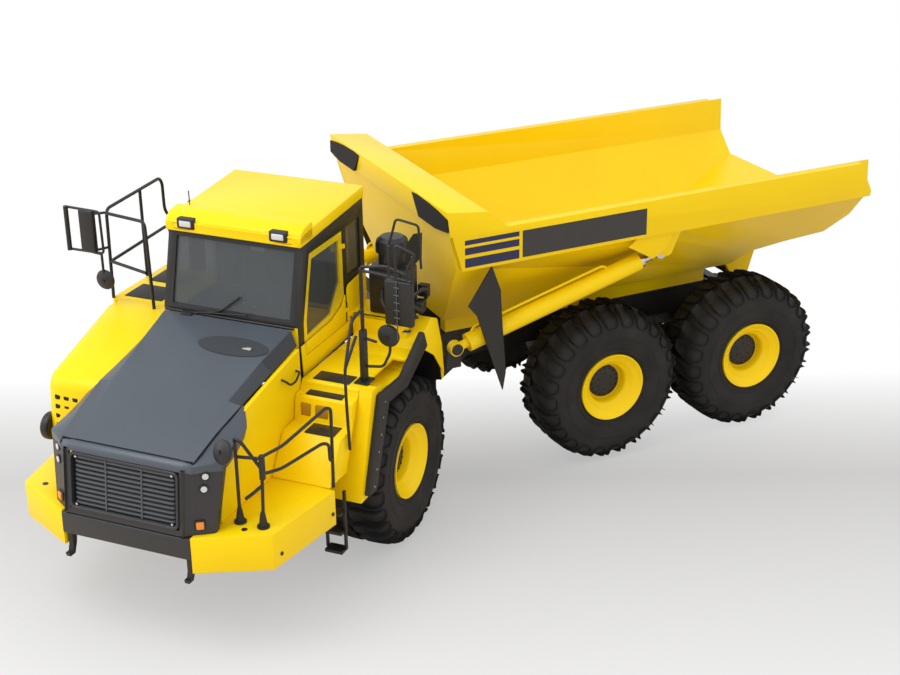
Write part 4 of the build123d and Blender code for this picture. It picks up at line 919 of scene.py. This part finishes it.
# radius and height of the air cleaner's outline
cleaner_outline = ((0.001, 3.240), (0.120, 3.235), (0.165, 3.200), (0.178, 3.150), (0.178, 3.070),
                   (0.150, 3.060), (0.150, 2.395), (0.001, 2.395))
cleaner = bmesh.new()
ring = [cleaner.verts.new((0.0, reach, z)) for reach, z in cleaner_outline]
edges = [cleaner.edges.new(pair) for pair in zip(ring, ring[1:])]
bmesh.ops.spin(cleaner, geom=ring + edges, cent=(0, 0, 0), axis=(0, 0, 1), angle=2 * pi, steps=40,
               use_merge=True)
bmesh.ops.translate(cleaner, vec=(0.93, 1.22, 0.0), verts=cleaner.verts)
build("air_cleaner", cleaner, black, "tractor", tractor)
boxes("left_tank", black, "tractor", tractor, ((0.860, 1.020, 2.400), (1.120, 1.480, 2.930)),
      ((1.12, 1.10, 2.66), (1.16, 1.40, 2.90)), width=0.02)
stack = bmesh.new()
rod(stack, (0.960, -1.200, 2.541), (0.960, -1.200, 3.180), 0.090)
rod(stack, (0.960, -1.200, 3.150), (0.960, -1.200, 3.330), 0.060)
build("exhaust_stack", stack, black, "tractor", tractor)
tubes("left_hoses", black, "tractor", tractor, 0.020,
      ((1.16, 1.20, 2.70), (1.30, 1.25, 2.62), (1.34, 1.42, 2.45), (1.10, 1.58, 2.42)),
      ((1.16, 1.36, 2.80), (1.26, 1.44, 2.74), (1.20, 1.60, 2.56), (0.98, 1.60, 2.46)),
      ((1.10, 1.48, 2.60), (1.00, 1.60, 2.72), (0.85, 1.60, 2.62), (0.82, 1.50, 2.42)), bend=0.14)
boxes("left_valves", black, "tractor", tractor, ((0.90, 1.500, 2.430), (1.05, 1.600, 2.560)),
      ((0.80, 1.480, 2.560), (0.88, 1.600, 2.700)),
      ((1.10, 1.490, 2.420), (1.22, 1.570, 2.480)), width=0.012)
boxes("left_catch", chrome, "tractor", tractor, ((1.30, 1.52, 2.335), (1.38, 1.60, 2.350)), width=0.003)


# Steps: yellow stringers and risers with black gripping treads, their handrail,
# and the step that hangs under the wing on rubber straps.
shade = Finish("shaded enamel", (0.42, 0.22, 0.008), 0.5)
shade.set("Roughness", shade.noise(20.0) * 0.1 + 0.45)

stair_outline = ((1.560, 2.100), (1.560, 2.130), (2.370, 2.130), (2.392, 2.112), (2.400, 2.040),
                 (2.520, 2.030), (2.545, 2.012), (2.585, 1.770), (2.820, 1.758), (2.850, 1.735),
                 (3.100, 1.360), (3.100, 1.3455), (2.720, 1.3455), (2.420, 2.020), (2.380, 2.100))
stair = bmesh.new()
prism(stair, stair_outline, 0.855, 1.505)
round_edges(stair, 0.010)
build("stair", stair, yellow, "tractor", tractor, "access_steps")
boxes("rear_deck", yellow, "tractor", tractor, ((0.780, 0.805, 2.356), (1.200, 1.500, 2.394)),
      ((1.160, 0.855, 2.110), (1.200, 1.500, 2.394)), ((1.200, 0.855, 2.100), (1.570, 1.645, 2.130)))
boxes("step_treads", black, "tractor", tractor, ((2.150, 0.960, 2.126), (2.345, 1.370, 2.140)),
      ((2.280, 0.960, 2.026), (2.515, 1.370, 2.042)),
      ((2.606, 1.093, 1.760), (2.815, 1.414, 1.775)), width=0.003)
# painted shade: boxes of yellow enamel as it looks in shade, standing in the stair's toe openings
boxes("toe_opening_shade", shade, "tractor", tractor, ((2.545, 0.930, 1.820), (2.582, 1.040, 1.955)),
      ((2.545, 1.095, 1.820), (2.582, 1.240, 1.955)), width=0.01)
boxes("hanging_step", black, "tractor", tractor, ((2.758, 1.305, 0.478), (2.902, 1.505, 0.512)),
      ((2.758, 1.305, 0.698), (2.902, 1.505, 0.732)),
      ((2.758, 1.305, 0.918), (2.902, 1.505, 0.952)), ((2.796, 1.286, 0.50), (2.830, 1.314, 1.182)),
      ((2.796, 1.496, 0.50), (2.830, 1.524, 1.182)), width=0.004)
tubes("stair_rail", black, "tractor", tractor, 0.016,
      ((2.290, 1.520, 2.960), (2.540, 1.530, 2.940), (2.730, 1.535, 2.490), (2.730, 1.535, 2.190),
       (2.704, 1.540, 1.600)),
      ((2.735, 1.535, 2.487), (2.420, 1.510, 2.720)))


# Bumper wings: bent tube rails that stand in rubber boots on the yellow top, a round mirror
# on its arm, plugs in the top and the bolts that hold the wings' sides.
wing_top = 1.345
for number, place in enumerate(((3.997, 1.009, wing_top), (3.998, 1.260, wing_top))):
    boot = bmesh.new()
    rod(boot, place, (place[0], place[1], wing_top + 0.02), 0.062)
    rod(boot, (place[0], place[1], wing_top + 0.02), (place[0], place[1], wing_top + 0.16), 0.044, 0.022)
    build(f"post_boot_{number + 1}", boot, flap_rubber, "tractor", tractor)
wing_rails = tubes("wing_rails", black, "tractor", tractor, 0.017,
                   ((3.997, 1.009, wing_top), (4.080, 1.060, 2.290)),
                   ((3.998, 1.260, wing_top), (4.000, 1.289, 2.110)),
                   ((4.080, 1.060, 2.285), (4.090, 1.130, 2.270), (4.000, 1.285, 1.960)),
                   ((4.050, 1.040, 2.080), (4.000, 1.285, 2.080)),
                   ((4.000, 1.289, 2.100), (3.750, 1.370, 2.110), (3.170, 1.545, 2.280),
                    (3.109, 1.560, 2.240), (3.046, 1.518, wing_top)),
                   ((4.000, 1.287, 1.920), (3.780, 1.360, 1.880), (3.250, 1.530, 1.930),
                    (3.160, 1.550, 1.880), (3.150, 1.550, 1.690), (3.060, 1.530, 1.680)),
                   ((4.000, 1.280, 1.800), (4.020, 1.180, 1.700), (4.040, 1.110, 1.640)))
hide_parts("handrails")
wing_mirror_turn = Matrix.Rotation(radians(-18.0), 4, "Z") @ Matrix.Rotation(radians(-20.0), 4, "Y")
round_mirror("wing_mirror", Matrix.Translation((4.221, 1.000, 2.203)) @ wing_mirror_turn, 0.118)
tubes("wing_mirror_arm", black, "tractor", tractor, 0.014,
      ((4.190, 1.000, 2.200), (4.120, 1.050, 2.180), (4.075, 1.058, 2.240)))
boxes("post_bracket", black, "tractor", tractor, ((3.975, 1.262, 1.86), (4.025, 1.312, 2.12)), width=0.01)
wing_bolts = bmesh.new()
for x, y, z in ((3.978, 1.430, 1.083), (3.158, 1.557, 1.103), (3.978, -1.430, 1.083),
                (3.158, -1.557, 1.103)):
    rod(wing_bolts, (x, y * 0.99, z), (x, y * 1.007, z), 0.020, segments=12)
build("wing_bolts", wing_bolts, black, "tractor", tractor)
wing_caps = bmesh.new()
for x, y in ((4.108, 1.115), (4.060, -1.188)):
    rod(wing_caps, (x, y, wing_top - 0.01), (x, y, wing_top + 0.004), 0.030)
build("wing_caps", wing_caps, black, "tractor", tractor)


# Rubber guards ahead of the mid wheels, hung from the rail, and what carries the hoists:
# brackets under the rail, and the oil pipe that runs along each barrel.
guard_outline = ((-1.227, 2.728), (-1.123, 2.578), (-0.935, 2.303), (-1.046, 2.165), (-1.095, 2.000),
                 (-1.357, 1.207), (-1.395, 1.424), (-1.357, 1.960), (-1.332, 2.433))
bracket_outline = ((-3.150, 2.745), (-2.999, 2.629), (-3.219, 2.500), (-3.330, 2.430), (-3.480, 2.505),
                   (-3.560, 2.620), (-3.620, 2.745))
pipe_run = ((-1.05, 1.93), (-1.09, 1.982), (-2.72, 2.406), (-2.78, 2.380), (-2.79, 2.34))
for side, side_name in ((1, "left"), (-1, "right")):
    flap = bmesh.new()
    prism(flap, guard_outline, side * 1.640, side * 1.664)
    build(f"guard_flap_{side_name}", flap, flap_rubber, "dump_body", rear_unit,
          *(["body_guards"] if side > 0 else []))
    bracket = bmesh.new()
    prism(bracket, bracket_outline, side * 1.600, side * 1.622)
    round_edges(bracket, 0.006)
    build(f"hoist_bracket_{side_name}", bracket, yellow, "dump_body", rear_unit)
for side, side_name in ((1, "left"), (-1, "right")):
    tubes(f"hoist_pipe_{side_name}", yellow, "hoist_barrels", rear_unit, 0.016,
          [(x, side * 1.49, z) for x, z in pipe_run], bend=0.03)


# Dump body: a trough of thick wear plate with rounded folds, and dark sheets in its spill guard's slots
# that are painted shade.
# Three dark blue stripes and a plain grey plate are painted on each rail.
stripe_blue = Finish("stripe blue", (0.010, 0.015, 0.075), 0.5)
stripe_blue.set("Roughness", stripe_blue.noise(40.0) * 0.1 + 0.4)

plate_grey = Finish("plate grey", (0.032, 0.032, 0.033), 0.55)
plate_grey.set("Roughness", plate_grey.noise(40.0) * 0.1 + 0.42)

soften("dump_body", yellow, "dump_body", 0.012, 20.0)
# painted shade: dark sheets inside the spill guard's slots
slot_shade_mesh = bmesh.new()
# across the body, height, how far behind the pin the slot's back lies
slot_outline = ((0.756, 3.403, 0.712), (0.900, 3.416, 0.712), (1.227, 3.406, 0.712),
                (1.450, 3.384, 0.720), (1.665, 3.350, 0.760), (1.665, 3.209, 0.760),
                (1.366, 3.165, 0.730), (0.927, 3.167, 0.720))
for side in (1, -1):
    slot_back = [(-depth, side * y, z) for y, z, depth in slot_outline]
    slot_front = [(-0.684, side * y, z) for y, z, depth in slot_outline]
    surface(slot_shade_mesh, [slot_back, slot_front], ring=True)
build("spill_guard_slot_shade", slot_shade_mesh, core_black_and_shade, "dump_body", rear_unit)
rail_face = 1.6665
for side, side_name in ((1, "left"), (-1, "right")):
    bands = bmesh.new()
    for low_z, high_z in ((3.028, 3.083), (2.915, 2.995), (2.769, 2.873)):
        block(bands, (-1.227, side * rail_face, (low_z + high_z) / 2), (0.664, 0.003, high_z - low_z))
    build(f"stripes_{side_name}", bands, stripe_blue, "dump_body", rear_unit)
    sheet = bmesh.new()
    block(sheet, (-2.399, side * rail_face, 2.927), (1.598, 0.003, 0.312))
    build(f"side_plate_{side_name}", sheet, plate_grey, "dump_body", rear_unit)


# Seat: a cushion and a back of moulded foam under tight woven cloth, on a sprung plastic base
# that is bolted to the cab floor.
cloth = Finish("seat cloth", (0.035, 0.036, 0.040), 0.9)
cloth.bump(cloth.noise(900.0, 2.0), 0.0006, 0.6)


def pad(name, place, length, width, height, *replaced):
    """A stuffed cushion with soft corners, fuller in its middle."""
    mesh = bmesh.new()
    block(mesh, (0.0, 0.0, 0.0), (length, width, height))
    round_edges(mesh, min(length, height) * 0.32, segments=4)
    bmesh.ops.subdivide_edges(mesh, edges=[e for e in mesh.edges if e.calc_length() > 0.09], cuts=5,
                              use_grid_fill=True)
    for vert in mesh.verts:
        fullness = max(0.0, 1 - (2 * vert.co.x / length) ** 2) * max(0.0, 1 - (2 * vert.co.y / width) ** 2)
        vert.co.z *= 1.0 + 0.16 * fullness
    piece = build(name, mesh, cloth, "tractor", tractor @ place, *replaced, crease=60.0)
    smooth = piece.modifiers.new("smooth", "SUBSURF")
    smooth.levels = 1
    smooth.render_levels = 1


pad("seat_cushion", Matrix.Translation((1.340, 0.0, 2.515)), 0.500, 0.480, 0.120, "seat")
pad("seat_back", Matrix.Translation((1.085, 0.0, 2.900)) @ Matrix.Rotation(radians(-80.7), 4, "Y"), 0.600,
    0.460, 0.110)
boxes("seat_base", plastic, "tractor", tractor, ((1.110, -0.175, 2.135), (1.490, 0.175, 2.452)),
      width=0.02)
